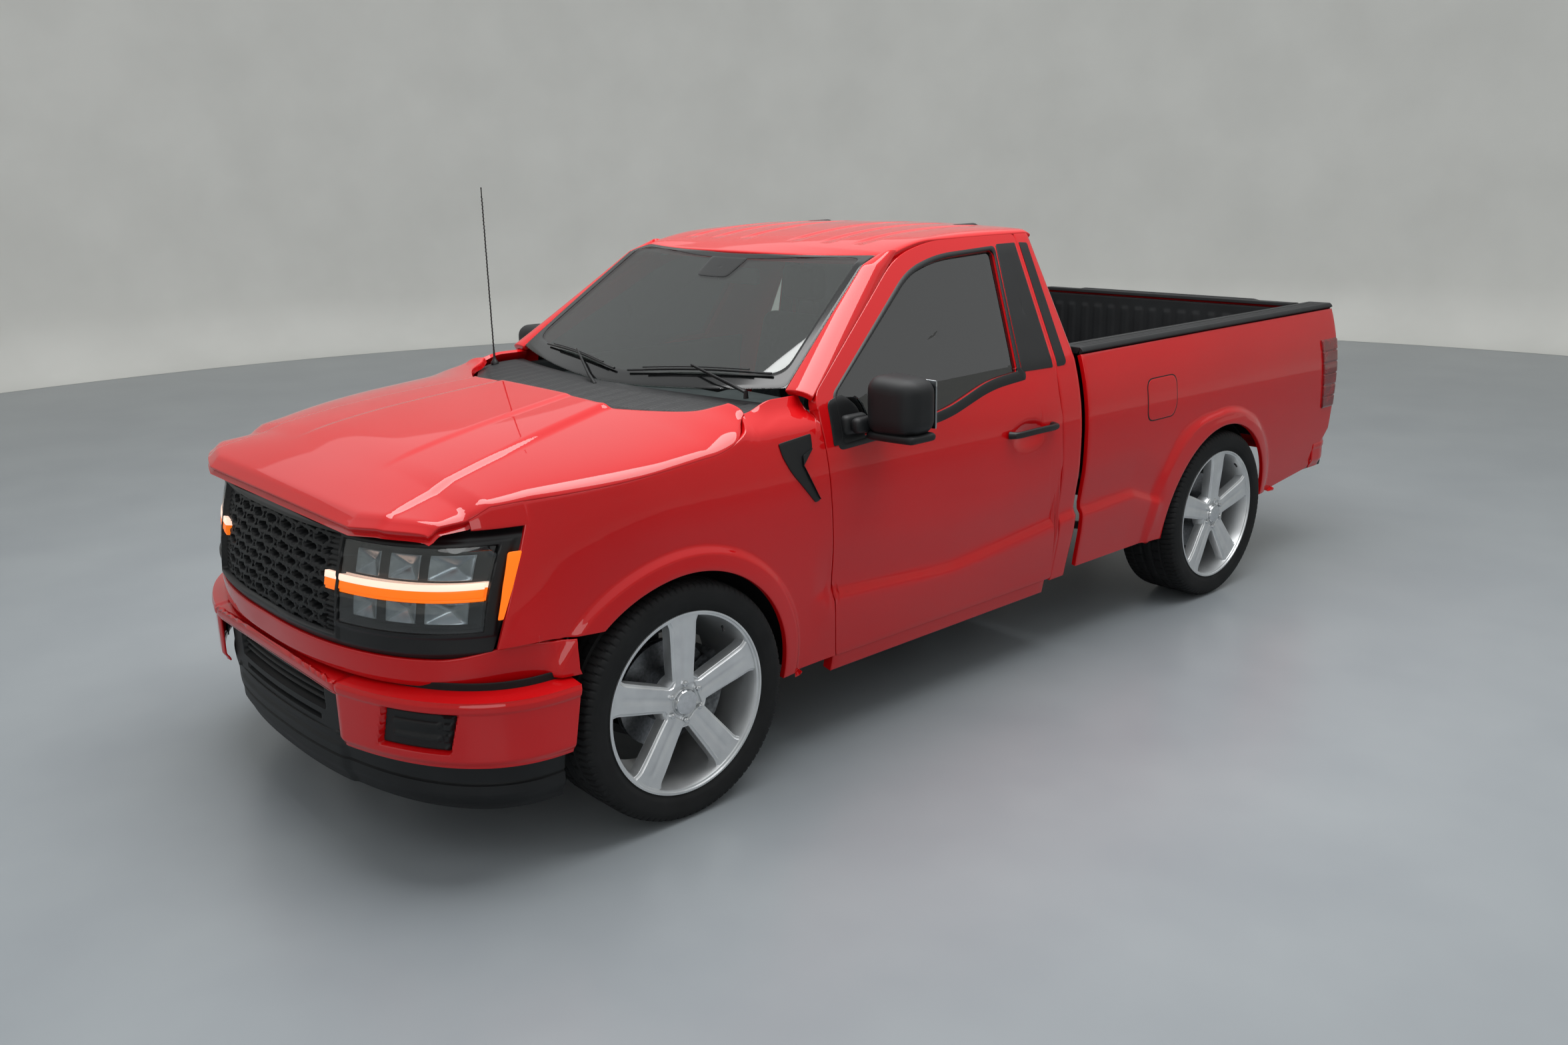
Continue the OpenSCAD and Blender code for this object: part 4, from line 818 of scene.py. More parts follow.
x, z = mesh_grid(-450, 450, 704, 1002, 3.1)
cell_x, cell_z = 112.0, 66.0
fields = []
for shift_row in (0, 1):
    u = (np.abs(x) + shift_row * cell_x / 2) % cell_x - cell_x / 2
    w = (z - 704 + shift_row * cell_z / 2) % cell_z - cell_z / 2
    fields.append(np.maximum(np.abs(w + 0.14 * u) - 19, 0.8 * np.abs(u) + 0.6 * np.abs(w) - 37))
ring = np.minimum(np.abs(fields[0] + 1), np.abs(fields[1] + 1))
bars = step(ring, 8.5, 5.0)
plate = step(np.abs(x), 384, 390)
ribs = step(np.abs(np.abs(z - 852) - 98), 52, 48) * (np.abs((z / 15) % 1 - 0.5) < 0.28)
sunk = 52 * (1 - plate) * (1 - bars) + 12 * bars * (1 - plate)
sunk = sunk + plate * (20 - 7 * ribs - 7 * bars * (1 - step(np.abs(z - 852), 44, 48)))
mesh_part = panel(on_nose(x, z) + np.stack([0 * x, sunk, 0 * x], -1), 6, (0, -1, 0), 1,
                  straight=True)
grained_black, tree, shader = finish("grained_black_moulded_plastic",
                                     {"Roughness": 0.55, "Specular IOR Level": 0.4})
mottle(tree, shader, 160, "#0f1012", "#16181a")
grain(tree, shader, 1.6, 0.10, "TexVoronoi")
piece("grille_surround", [surround], satin_black, "truck", ["grille"], crease=50)
piece("grille_mesh", [mesh_part], grained_black, "truck", crease=60)

metallised, tree, shader = finish("vacuum_metallised_reflector",
                                  {"Metallic": 1.0, "Roughness": 0.22})
mottle(tree, shader, 30, "#b9bec4", "#e2e5e8")
lamp_black, tree, shader = finish("black_lamp_housing", {"Roughness": 0.3})
mottle(tree, shader, 50, "#101114", "#1b1d21")
x, z = mesh_grid(468, 850, 750, 988, 6)
module_row = np.abs(np.abs(z - 868) - 62)
bowl = np.abs((x - 480) / 122 % 1 - 0.5) * 122
sunk = 54 - 3 * step(module_row, 50, 40) * step(bowl, 56, 46)
housing = panel(on_nose(x, z) + np.stack([0 * x, sunk, 0 * x], -1), 8, (0, -1, 0), 1,
                straight=True)
bowls = []
for middle_z in (930, 806):
    for middle_x in (545, 665, 775):
        x, z = mesh_grid(middle_x - 42, middle_x + 42, middle_z - 34, middle_z + 34, 5)
        facet = 26 * np.maximum(np.abs(x - middle_x) / 42, np.abs(z - middle_z) / 34)
        place = on_nose(x, z) + np.stack([0 * x, 46 - facet, 0 * x], -1)
        bowls.append(panel(place, 3, (0, -1, 0), 1, straight=True))
piece("headlamp_housings", both([housing]), lamp_black, "truck", ["headlamps"])
piece("headlamp_reflectors", both(bowls), metallised)


def nose_strip(x0, x1, z0, z1, out, thick):
    """Straight strip across the nose with rolled edges."""
    x, z = mesh_grid(x0, x1, z0, z1, 8)
    return panel(on_nose(x, z, out), thick, (0, -1, 0), 2.5, straight=True)


def lit(name, colour, glow):
    """Moulded light guide that is switched on."""
    made, tree, shader = finish(name, {"Roughness": 0.25, "Emission Strength": glow,
                                       "Emission Color": linear(colour)})
    mottle(tree, shader, 20, colour, colour)
    return made


white_guide = lit("frosted_white_light_guide", "#ffd9c4", 0.8)
amber_guide = lit("amber_light_guide", "#f5730f", 0.6)
piece("daylight_strips", both([nose_strip(400, 846, 872, 887, 3, 22)]), white_guide)
piece("turn_strips", both([nose_strip(400, 846, 848, 870, 2, 20),
                           nose_strip(400, 846, 838, 843, -2, 16)]), amber_guide)
lens_glass = glazing("clear_moulded_lamp_lens", "#f2f5f6", 0.16)
x, z = mesh_grid(466, 851, 749, 834, 12)
low_lens = panel(on_nose(x, z, 0.5), 3, (0, -1, 0), 1, straight=True)
x, z = mesh_grid(466, 851, 890, 989, 12)
high_lens = panel(on_nose(x, z, 0.5), 3, (0, -1, 0), 1, straight=True)
piece("headlamp_lenses", both([low_lens, high_lens]), lens_glass, "truck")
marker = side_plate([(-2292, 790, 4), (-2278, 790, 4), (-2200, 972, 6), (-2238, 972, 8)],
                    [3, 12, 3, 12], 3.5, 5)
piece("amber_side_markers", both([marker]), amber_guide)

# painted strip that runs under the grille and back to the wheel openings
z = np.linspace(0, 1, 14)[None, :]
q = np.radians(np.linspace(-90, 90, 121))[:, None]
rise = lambda share: 592 + (76 + 26 * share) * z
front = nose_skin(q, rise(step(np.abs(q), 1.0, 1.5)))
front[..., 1] = np.maximum(front[..., 1], front_limit)
side_y = np.linspace(-2088, nose_start, 10)[:, None]
side_strip = on_side(np.stack([side_y + 0 * z, rise(1.0) + 0 * side_y], -1))
strip = np.concatenate([side_strip * [-1, 1, 1], front[1:-1], side_strip[::-1]])
strip[..., 1] += 6 * step(z, 0.15, 0)
piece("painted_nose_strip", [panel(strip, 14, (0, -1, 0), 4)], paint, "truck",
      ["front_bumper"])


def bumper_skin(q, z, half=1009.0, reach=None):
    """Bumper face by sweep angle, with a chamfer under it and a rolled top edge."""
    reach = nose_start - nose_y - 3 if reach is None else reach
    x = half * np.abs(np.sin(q)) ** 0.86 * np.sign(q)
    y = nose_start - reach * np.abs(np.cos(q)) ** 0.86
    return np.stack([x + 0 * z, np.maximum(y, front_limit) + 0 * z, z + 0 * q], -1)


def pushed(points, depth, out=(0, -1, 0)):
    """The same surface sunk by `depth` mm along its normal."""
    along_rows, along_cols = slopes(points)
    face = unit(np.cross(along_rows, along_cols))
    face = face * np.sign(np.sum(face @ np.array(out, float)))
    return points - face * depth[..., None]


z = np.concatenate([np.linspace(374, 576, 60), np.linspace(577, 586, 12)])[None, :]
inset = np.concatenate([np.zeros(60), np.linspace(4, 66, 12)])[None, :]
q_in = np.arcsin((474 / 1009) ** (1 / 0.86))
q = np.linspace(q_in, np.pi / 2, 130)[:, None]
corner = bumper_skin(q, z, 1009.0 - inset, nose_start - nose_y - 3 - inset)
ends_y = np.linspace(nose_start, -2106, 6)[1:, None]
ends = np.stack([1009 - inset + 0 * z + 0 * ends_y,
                 nose_start + (ends_y - nose_start) * (0.1 + 0.9 * np.minimum(z - 374, 202) / 202),
                 z + 0 * ends_y], -1)
corner = np.concatenate([corner, ends])
x, z = corner[..., 0], corner[..., 2]
hole = np.minimum(np.minimum(x - 640 - 0.22 * (z - 420), 884 - 0.2 * (540 - z) - x),
                  np.minimum(z - 416, 542 - z))
under = 12 * step(z, 400, 374) + 5 * step(z, 560, 576) - 5 * step(z, 538, 548)
bumper = pushed(corner, under + 24 * step(hole, 0, 9) + 6 * step(x, 500, 474) ** 2)
z = np.concatenate([np.linspace(534, 576, 18), np.linspace(577, 586, 12)])[None, :]
inset = np.concatenate([np.zeros(18), np.linspace(4, 66, 12)])[None, :]
q = np.linspace(-q_in, q_in, 90)[:, None]
middle = bumper_skin(q, z, 1009.0 - inset, nose_start - nose_y - 3 - inset)
middle = pushed(middle, 5 * step(middle[..., 2], 560, 576) + 6 * step(middle[..., 2], 548, 534))
# Painted shade: a near-black sheet sits behind the gap between the painted strip and the bumper
# ledge, so that the gap reads dark.
filler_z = np.linspace(560, 606, 8)[None, :]
filler = bumper_skin(np.radians(np.linspace(-90, 90, 90))[:, None], filler_z, 940.0,
                     nose_start - nose_y - 64)
piece("bumper_gap_shade_sheet", [panel(filler, 6, (0, -1, 0), 1)], gap_shade_black)
piece("front_bumper_skin", both([panel(bumper, 6, (1, -1, 0), 3)])
      + [panel(middle, 8, (0, -1, 0), 3)], paint, "truck")

x, z = mesh_grid(634, 890, 412, 546, 4)
q_x = np.arcsin((np.clip(x, 0, 1008) / 1009) ** (1 / 0.86))
insert = bumper_skin(q_x, z) * [0, 1, 1] + np.stack([x, 0 * x, 0 * x], -1)
inside = np.minimum(np.minimum(x - 648 - 0.22 * (z - 420), 876 - 0.2 * (540 - z) - x),
                    np.minimum(z - 424, 534 - z))
long_rib = step(np.abs(np.abs(z - 480) - 20), 9, 6) * step(x, 836, 828) * step(x, 690, 698)
short_rib = step(np.abs((z - 480 + 54) % 36 - 18), 6, 9) * step(x, 838, 846)
sink = 14 - 8 * (long_rib + short_rib) * step(inside, 2, 8) + 16 * step(inside, 2, -4)
insert_part = panel(pushed(insert, sink, (1, -1, 0)), 4, (1, -1, 0), 1)
piece("bumper_inserts", both([insert_part]), grained_black, crease=55)

z = np.linspace(214, 372, 60)[None, :]
q = np.radians(np.linspace(-90, 90, 181))[:, None]
dam = bumper_skin(q, z, 950, nose_start - nose_y - 56)
height = dam[..., 2]
lip = 22 * step(height, 268, 214) + 8 * step(np.abs(height - 300), 5, 2) - 8 * step(height, 300, 372)
skid = step(np.abs(dam[..., 0]), 430, 400) * step(height, 350, 330) * 9
dam_part = panel(pushed(dam, lip - skid), 10, (0, -1, 0), 3)
x, z = mesh_grid(-468, 468, 374, 540, 4)
side = step(np.abs(x), 326, 334)
slat = step(np.abs((z - 448) % 24 - 12), 8, 4) * (z > 436)
slot = step(np.abs(z - 404), 9, 6) * step(np.abs(x), 300, 290)
sink = 10 + (1 - side) * np.where(z > 436, 50 - 34 * slat, 4 + 16 * slot) + side * 4
sink = sink + 12 * step(np.abs(x), 452, 468)
bow = 30 * (np.abs(x) / 470) ** 2
intake = panel(np.stack([x, front_limit + bow + sink, z], -1), 8, (0, -1, 0), 1, straight=True)
hook = [(380, front_limit + 110, 378), (380, front_limit + 58, 378), (384, front_limit + 42, 378),
        (396, front_limit + 36, 378), (408, front_limit + 42, 378), (412, front_limit + 58, 378),
        (412, front_limit + 110, 378)]
piece("air_dam_and_intake", [dam_part, intake], grained_black, "truck",
      ["front_valance"], crease=55)
piece("tow_hooks", both([tube(hook, 9, 12)]), satin_black)

# ---- Tyres and wheels ----------------------------------------------------
# Low-profile rubber tyres with blank sidewalls, on cast alloy wheels with five flat spokes
# whose edges are machined bright, though here one lacquered silver covers the whole wheel.
# Chromed nuts hold each one over a cast iron brake disc.
def lathe(profile, centre, steps=96, wrap=True):
    """Solid turned about an axis along X through centre: profile points are (x, radius)."""
    profile = np.asarray(profile, float)
    turn = np.linspace(0, 2 * np.pi, steps, endpoint=False)[:, None]
    points = np.stack([profile[:, 0] + 0 * turn, profile[:, 1] * np.cos(turn),
                       profile[:, 1] * np.sin(turn)], -1) + np.asarray(centre, float)
    faces = grid_faces(steps, len(profile), True, wrap)
    return outward(points.reshape(-1, 3), faces)


rubber, tree, shader = finish("vulcanised_tyre_rubber", {"Roughness": 0.78,
                                                        "Specular IOR Level": 0.3})
mottle(tree, shader, 90, "#121314", "#1b1c1d")
grain(tree, shader, 2.0, 0.06)
alloy, tree, shader = finish("cast_alloy_silver_lacquered", {"Metallic": 0.85, "Roughness": 0.36})
mottle(tree, shader, 70, "#d3d5d7", "#e0e2e3")
grain(tree, shader, 0.7, 0.006)
chrome, tree, shader = finish("chromed_steel", {"Metallic": 1.0, "Roughness": 0.08})
mottle(tree, shader, 12, "#c9cbcd", "#d9dbdd")
cast_iron, tree, shader = finish("turned_cast_iron_disc", {"Metallic": 1.0, "Roughness": 0.4})
mottle(tree, shader, 9, "#6f7174", "#8b8d90")
grain(tree, shader, 1.5, 0.02)

half_tread = np.array([(0, 390), (100, 389), (120, 386.5), (131, 381), (137.5, 372),
                       (141, 360), (142, 339), (139.5, 318), (130, 299), (125, 282)])
whole = np.concatenate([half_tread[::-1] * [-1, 1], half_tread[1:]])
length = np.concatenate([[0], np.cumsum(np.linalg.norm(np.diff(whole, axis=0), axis=1))])
share = np.linspace(0, length[-1], 92)
tyre_x, tyre_r = np.interp(share, length, whole[:, 0]), np.interp(share, length, whole[:, 1])
angle = np.linspace(0, 2 * np.pi, 588, endpoint=False)[:, None]
slant = angle * 98 / (2 * np.pi) + 0.3 * np.sign(tyre_x) * (np.abs(tyre_x) - 80) / 60
notch = (slant % 1 < 0.22) * step(np.abs(tyre_x), 78, 82) * step(tyre_r, 366, 372)
inner_cut = ((slant * 0.5 + 0.25) % 1 < 0.14) * step(np.abs(tyre_x), 12, 16)
inner_cut = inner_cut * step(np.abs(tyre_x), 64, 60) * (tyre_r > 386)
groove = sum(step(np.abs(tyre_x - x0), 7, 4) for x0 in (-72, -24, 24, 72)) * (tyre_r > 384)
ridges = sum(step(np.abs(tyre_r - r0), 2.2, 0.8) for r0 in (305, 352, 358)) * 1.2
radius = tyre_r - 7 * np.maximum(groove, 0.7 * np.maximum(notch, inner_cut))
tyre_skin = np.stack([tyre_x + np.sign(tyre_x) * ridges * 0.4 + 0 * angle,
                      radius * np.cos(angle), radius * np.sin(angle)], -1)
tyre = outward(tyre_skin.reshape(-1, 3), grid_faces(588, 92, True, True))

barrel = lathe([(134.5, 297), (134.5, 291), (129, 289), (128, 283), (118, 279), (60, 268),
                (-60, 262), (-122, 264), (-134.5, 288), (-134.5, 297), (-126, 297),
                (-120, 281), (-60, 276), (60, 280), (120, 283), (126, 297)], (0, 0, 0), 160)
r = np.linspace(58, 283, 46)[:, None]
v = np.sin(np.linspace(-1, 1, 23) * np.pi / 2)[None, :]
half_w = 37 + 14 * (r - 58) / 225 + 16 * np.clip((r - 248) / 35, 0, 1) ** 2 \
    + 12 * np.clip((82 - r) / 24, 0, 1) ** 2
face_x = 124 - 9 * step(r, 250, 70) - 5 * step(np.abs(v), 0.86, 0.93) \
    - 2.5 * step(np.abs(v), 0.3, 0.0) * step(r, 262, 240)
spoke_skin = np.stack([face_x + 0 * r, r + 0 * v, v * half_w], -1)
spoke = panel(spoke_skin, 40, (1, 0, 0), 3, straight=True)
turn = np.radians(90 + 72 * np.arange(5))
spokes = [(spoke[0] @ np.array([[1, 0, 0], [0, np.cos(a), np.sin(a)],
                                [0, -np.sin(a), np.cos(a)]]), spoke[1]) for a in turn]
hub = lathe([(60, 20), (114, 20), (114, 44), (108, 47), (108, 76), (112, 80), (112, 84),
             (98, 92), (60, 92)], (0, 0, 0), 96)
nuts, wells = [], []
for a in np.radians(np.arange(6) * 60 + 30):
    centre = (0, 62 * math.cos(a), 62 * math.sin(a))
    nuts.append(lathe([(96, 0.3), (123, 0.3), (124, 5), (121, 9.5), (96, 9.5)], centre, 6))
    wells.append(lathe([(100, 10.5), (110.5, 12.5), (110.5, 15), (100, 15)], centre, 24))
cap = lathe([(108, 0.3), (125, 0.3), (125.5, 30), (124, 38), (118, 42.5), (108, 42.5)],
            (0, 0, 0), 72)
valve_a = math.radians(54)
valve = tube(np.array([(118, 0, 0), (128, -4, -4), (136, -10, -10)])
             + [0, 262 * math.cos(valve_a), 262 * math.sin(valve_a)], 4, 8)
disc = lathe([(-18, 58), (-18, 175), (-8, 175), (-8, 150), (-2, 150), (-2, 175), (8, 175),
              (8, 92), (52, 86), (60, 84), (60, 58)], (0, 0, 0), 120)
for name, side, axle in (("front_left", 1, front_axle), ("front_right", -1, front_axle),
                         ("rear_left", 1, rear_axle), ("rear_right", -1, rear_axle)):
    def placed(parts):
        """The left-hand parts moved to this wheel, mirrored for the right side."""
        moved = [(points + [wheel_x, axle, wheel_z], faces) for points, faces in parts]
        return moved if side > 0 else [mirrored(part) for part in moved]

    body = name + "_wheel"
    piece(name + "_tyre_tread", placed([tyre]), rubber, body, [name + "_tyre"])
    piece(name + "_alloy", placed([barrel, hub] + spokes + wells), alloy, body,
          [name + "_rim"])
    piece(name + "_brake_disc", placed([disc]), cast_iron, body)
    piece(name + "_nuts_and_cap", placed(nuts + [cap]), chrome, body)
    piece(name + "_valve", placed([valve]), satin_black, body)

# ---- Mirrors and door handles --------------------------------------------
# Grained black mirror shells on two-part arms, with a silvered glass behind, and straight
# black pull handles over hollows pressed in the door.
def rounded_box(low, high, radius, cells=6):
    """Block with rounded edges: each point of a cube's grid moves onto a smaller block and
    then outwards by the radius."""
    low, high = np.asarray(low, float), np.asarray(high, float)
    low, high = np.minimum(low, high), np.maximum(low, high)
    radius = min(radius, 0.49 * (high - low).min())
    cut = np.linspace(-1, 1, cells + 1)
    cut = np.sign(cut) * np.abs(cut) ** 0.5
    a, b = np.meshgrid(cut, cut, indexing="ij")
    one = np.ones_like(a)
    sides = [np.stack(s, -1) for s in ((one, a, b), (-one, b, a), (b, one, a), (a, -one, b),
                                       (a, b, one), (b, a, -one))]
    cube = np.array(sides).reshape(-1, 3)
    faces = np.concatenate([grid_faces(cells + 1, cells + 1) + k * (cells + 1) ** 2
                            for k in range(6)])
    cube, where = np.unique(np.round(cube, 6), axis=0, return_inverse=True)
    middle, half = (low + high) / 2, (high - low) / 2
    core = np.clip(cube * half * 1.0001, radius - half, half - radius)
    points = middle + core + unit(cube * half - core + cube * 1e-6) * radius
    return outward(points, where.reshape(-1)[faces])


def tapered(part, centre, lean):
    """Shrinks a part towards its outer end, from its full height to 1 - lean."""
    points, faces = part
    share = np.clip((points[:, 0] - centre[0]) / 205, 0, 1) ** 2
    scaled = points.copy()
    scaled[:, 2] = centre[1] + (points[:, 2] - centre[1]) * (1 - lean * share)
    scaled[:, 1] = points[:, 1] + 26 * share * (points[:, 1] < -860)
    return scaled, faces


silvered = finish("silvered_mirror_glass", {"Metallic": 1.0, "Roughness": 0.03})
mottle(silvered[1], silvered[2], 200, "#aab0b3", "#b4babd")
mirror_parts = [tapered(rounded_box((1008, -962, 1128), (1213, -800, 1330), 52, 12),
                        (1008, 1225), 0.10),
                tapered(rounded_box((1012, -950, 1113), (1206, -806, 1142), 14, 8),
                        (1012, 1128), 0.0),
                rounded_box((948, -1016, 1128), (992, -905, 1196), 20, 8),
                rounded_box((984, -998, 1136), (1030, -900, 1190), 22, 8)]
mirror_glass = rounded_box((1026, -806, 1150), (1196, -796, 1312), 5, 8)
lever = [(side_x(1000) + 3, -158, 1003), (side_x(1000) + 26, -150, 1004),
         (side_x(1000) + 32, -130, 1004), (side_x(1000) + 33, -30, 1005),
         (side_x(1000) + 32, 78, 1004), (side_x(1000) + 26, 98, 1004),
         (side_x(1000) + 3, 106, 1003)]
handle = [tube(lever, [15, 13, 12.5, 12.5, 12.5, 13, 15], 16, 1.0)]
handle[0][0][:, 0] = np.minimum(handle[0][0][:, 0], side_x(1000) + 40)
for side, flip in (("left", lambda part: part), ("right", mirrored)):
    piece(side + "_mirror_shell", [flip(part) for part in mirror_parts], grained_black,
          side + "_door", [side + "_mirror"])
    piece(side + "_mirror_glass", [flip(mirror_glass)], silvered[0], side + "_door")
    piece(side + "_pull_handle", [flip(part) for part in handle], satin_black, side + "_door")

# ---- Roof pods and fender vents ------------------------------------------
# Two low black clips on the roof behind, and a blank black vent on each front fender.
pods = []
for x0 in (430, -430):
    y, v = np.meshgrid(np.linspace(130, 305, 24), np.linspace(-1, 1, 11), indexing="ij")
    top = roof_z - 20 + 11 * (1 - v ** 2) ** 0.5 * step(y, 128, 170) * step(y, 309, 285)
    pods.append(panel(np.stack([x0 + v * 19, y, np.minimum(top + 2, roof_z - 1)], -1), 14,
                      (0, 0, 1), 2, straight=True))
piece("roof_clips", pods, satin_black)
vent = side_plate([(-1300, 1146, 8), (-1160, 1158, 6), (-1162, 1112, 10), (-1214, 1094, 14),
                   (-1196, 1030, 30), (-1146, 940, 5), (-1166, 936, 5), (-1262, 1052, 40),
                   (-1290, 1104, 12)], [10, 6, 6, 6, 8, 3, 10, 6, 6], 4.0, 6, 9)
piece("blank_fender_vents", both([vent]), satin_black)

# ---- Bed liner, rail caps, lamps and rear bumper -------------------------
# A moulded black liner fills the bed. Grooved plastic caps cover the rails and tailgate, the
# tail lamps are red moulded lenses, and a painted pressed bumper carries a black step pad.
bed_in = rear_axle - 1009
x, y = np.meshgrid(np.linspace(-822, 822, 300), np.linspace(bed_in + 8, bed_end + 2, 60),
                   indexing="ij")
rib = 6 * (np.abs((x / 62) % 1 - 0.5) < 0.27) * step(y, bed_in + 40, bed_in + 60)
floor_part = panel(np.stack([x, y, 742 + rib], -1), 6, (0, 0, 1), 2, straight=True)
y, z = np.meshgrid(np.linspace(bed_in + 6, bed_end, 250), np.linspace(742, 1240, 70),
                   indexing="ij")
low_house = step(961 - z, 0, 14) * step(y, 938, 942) * step(1880 - y, 0, 4)
pads = np.zeros_like(y)
for y0 in np.linspace(bed_in + 150, bed_end - 150, 6):
    frame_in = np.minimum(128 - np.abs(y - y0), 96 - np.abs(z - 1105))
    pads += 7 * step(np.abs(frame_in - 8), 7, 3)
    pads += 9 * step(np.abs(np.hypot(y - y0, z - 1105) - 42), 7, 3)
wall_skin = np.stack([826 - pads - 186 * low_house, y, z], -1)
wall_part = panel(wall_skin, 5, (-1, 0, 0), 2, straight=True)
x, z = np.meshgrid(np.linspace(-820, 820, 220), np.linspace(742, 1240, 60), indexing="ij")
bulk = 8 * (np.abs((x / 90) % 1 - 0.5) < 0.25) * step(z, 780, 800) * step(z, 1210, 1190)
head_part = panel(np.stack([x, bed_in + 6 + bulk, z], -1), 5, (0, 1, 0), 2, straight=True)
piece("moulded_bed_liner", [floor_part, head_part] + both([wall_part]), grained_black, "truck",
      crease=50)

y, v = np.meshgrid(np.linspace(bed_front + 4, rear_low - 2, 140), np.linspace(0, 1, 40),
                   indexing="ij")
cap_x = bed_box[1, 0] - 22 + (side_x(bed_top) + 3 - bed_box[1, 0] + 22) * v
cap_z = 1273.5 - 14 * np.clip((v - 0.86) / 0.14, 0, 1) ** 2 - 8 * np.clip(0.1 - v, 0, 1)
cap_z = cap_z - 3 * sum(step(np.abs(v - v0), 0.045, 0.02) for v0 in (0.3, 0.52, 0.72)) \
    * step(y, bed_front + 40, bed_front + 60) * step(y, rear_low - 60, rear_low - 80)
cap_part = panel(np.stack([cap_x, y, cap_z], -1), 26, (0, 0, 1), 3, straight=True)
piece("grooved_rail_caps", both([cap_part]), grained_black, "truck",
      ["bed_rail_caps"])

x, v = np.meshgrid(np.linspace(gate_box[0, 0] + 3, gate_box[1, 0] - 3, 140),
                   np.linspace(0, 1, 16), indexing="ij")
spoiler = 6 * step(np.abs(x), 560, 520) * step(v, 0.35, 0.6)
gate_cap = np.stack([x, gate_box[0, 1] + 2 + (gate_box[1, 1] - gate_box[0, 1] - 6) * v,
                     gate_box[1, 2] - 9 + spoiler - 4 * v ** 4], -1)
gate_top = panel(gate_cap, 16, (0, 0, 1), 3, straight=True)
x, z = np.meshgrid(np.linspace(gate_box[0, 0] + 12, gate_box[1, 0] - 12, 180),
                   np.linspace(gate_box[0, 2] + 20, gate_box[1, 2] - 40, 50), indexing="ij")
press = 4 * (np.abs((x / 90) % 1 - 0.5) < 0.25) * step(z, 790, 810) * step(z, 1190, 1170)
gate_liner = panel(np.stack([x, gate_box[0, 1] + 5 - press, z], -1), 34, (0, -1, 0), 1,
                   straight=True)
pull = rounded_box((-78, gate_box[1, 1] - 12, 1150), (78, gate_box[1, 1] - 1, 1200), 5, 6)
piece("tailgate_cap_and_liner", [gate_top, gate_liner, pull], grained_black, "tailgate")

lens_red, tree, shader = finish("red_moulded_tail_lens", {"Roughness": 0.08, "IOR": 1.5,
                                                         "Coat Weight": 0.6})
mottle(tree, shader, 45, "#5c0509", "#8d0b12")
smoke, tree, shader = finish("smoked_reverse_lens", {"Roughness": 0.08, "IOR": 1.5})
mottle(tree, shader, 25, "#7f8486", "#b6babc")
z = np.linspace(758, 1104, 100)[:, None]
p = np.linspace(0, 1, 60)[None, :]
lead = bed_end - 84 + 46 * (1 - (z - 758) / 346)
out_x, back_y = side_x(z) + 8, bed_end + 86.0
run = p * 2
bend = np.clip((run - 0.9) / 0.2, 0, 1) * np.pi / 2
side_part = np.clip(run / 0.9, 0, 1)
rear_part = np.clip((run - 1.1) / 0.9, 0, 1)
lamp_px = out_x - 22 + 22 * np.cos(bend) - rear_part * (out_x - 22 - 856)
lamp_py = lead + side_part * (back_y - 22 - lead) + 22 * np.sin(bend)
blocks = 4 * step(np.abs(((z - 758) / 57.6) % 1 - 0.5), 0.46, 0.42)
tail = np.stack([lamp_px + blocks * np.cos(bend) - 4, lamp_py + blocks * np.sin(bend) - 4,
                 z + 0 * p], -1)
piece("tail_lamp_lenses", both([panel(tail, 20, (1, 1, 0), 2)]), lens_red, "truck",
      ["tail_lamps"])
x, z = np.meshgrid(np.linspace(862, 950, 10), np.linspace(880, 940, 8), indexing="ij")
piece("reverse_lenses", both([panel(np.stack([x, back_y + 1 + 0 * x, z], -1), 6, (0, 1, 0),
                                    2)]), smoke)

half = side_max - 22
path = outline([(half, bed_end - 56, 0), (half, tail_y - 186, 120), (half - 130, tail_y - 34, 90),
                (420, tail_y - 4, 60), (-420, tail_y - 4, 60), (130 - half, tail_y - 34, 90),
                (-half, tail_y - 186, 120), (-half, bed_end - 56, 0)],
               [12, 14, 20, 30, 20, 14, 12, 0], 9, False)
z = np.linspace(448, 634, 30)
skin = np.stack([path[:, None, 0] + 0 * z, path[:, None, 1] + 0 * z, z + 0 * path[:, None, 0]],
                -1)
roll = 16 * step(z, 490, 448) + 6 * step(z, 610, 634) - 3 * step(np.abs(z - 560), 16, 10)
skin = pushed(skin, np.broadcast_to(roll, skin.shape[:2]), (0, 1, 0))
piece("rear_bumper_skin", [panel(skin, 6, (0, 1, 0), 3)], paint, "truck",
      ["rear_bumper"])
u, v = np.meshgrid(np.linspace(0, 1, len(path)), np.linspace(0, 1, 24), indexing="ij")
pad = np.stack([path[:, None, 0] * (1 - 0.02 * v),
                (path[:, None, 1] - 5) * (1 - v) + v * np.minimum(path[:, None, 1] - 12,
                                                                 bed_end + 98),
                638 + 3 * (np.abs((v * 9) % 1 - 0.5) < 0.25) + 0 * v], -1)
pad_part = panel(pad, 12, (0, 0, 1), 2, straight=True)
plate_well = rounded_box((-190, tail_y - 20, 470), (190, tail_y - 2, 600), 8, 8)
sill_cover = rounded_box((-790, bed_end - 6, 560), (790, bed_end + 2, 716), 3, 8)
piece("bumper_step_pad", [pad_part, plate_well, sill_cover], grained_black, "truck")
blank_plate, tree, shader = finish("blank_pressed_aluminium_plate", {"Roughness": 0.4})
mottle(tree, shader, 60, "#c2c5c7", "#cfd2d4")
piece("blank_rear_plate", [rounded_box((-152, tail_y - 6, 490), (152, tail_y - 0.5, 586), 2.5,
                                       6)], blank_plate)
edge = panel(on_side(np.stack(np.meshgrid(np.linspace(bed_end - 120, rear_low - 4, 20),
                                          np.linspace(446, 470, 5), indexing="ij"), -1)) - [4, 0, 0],
             8, (1, 0, 0), 2)
piece("quarter_lower_strips", both([edge]), grained_black)
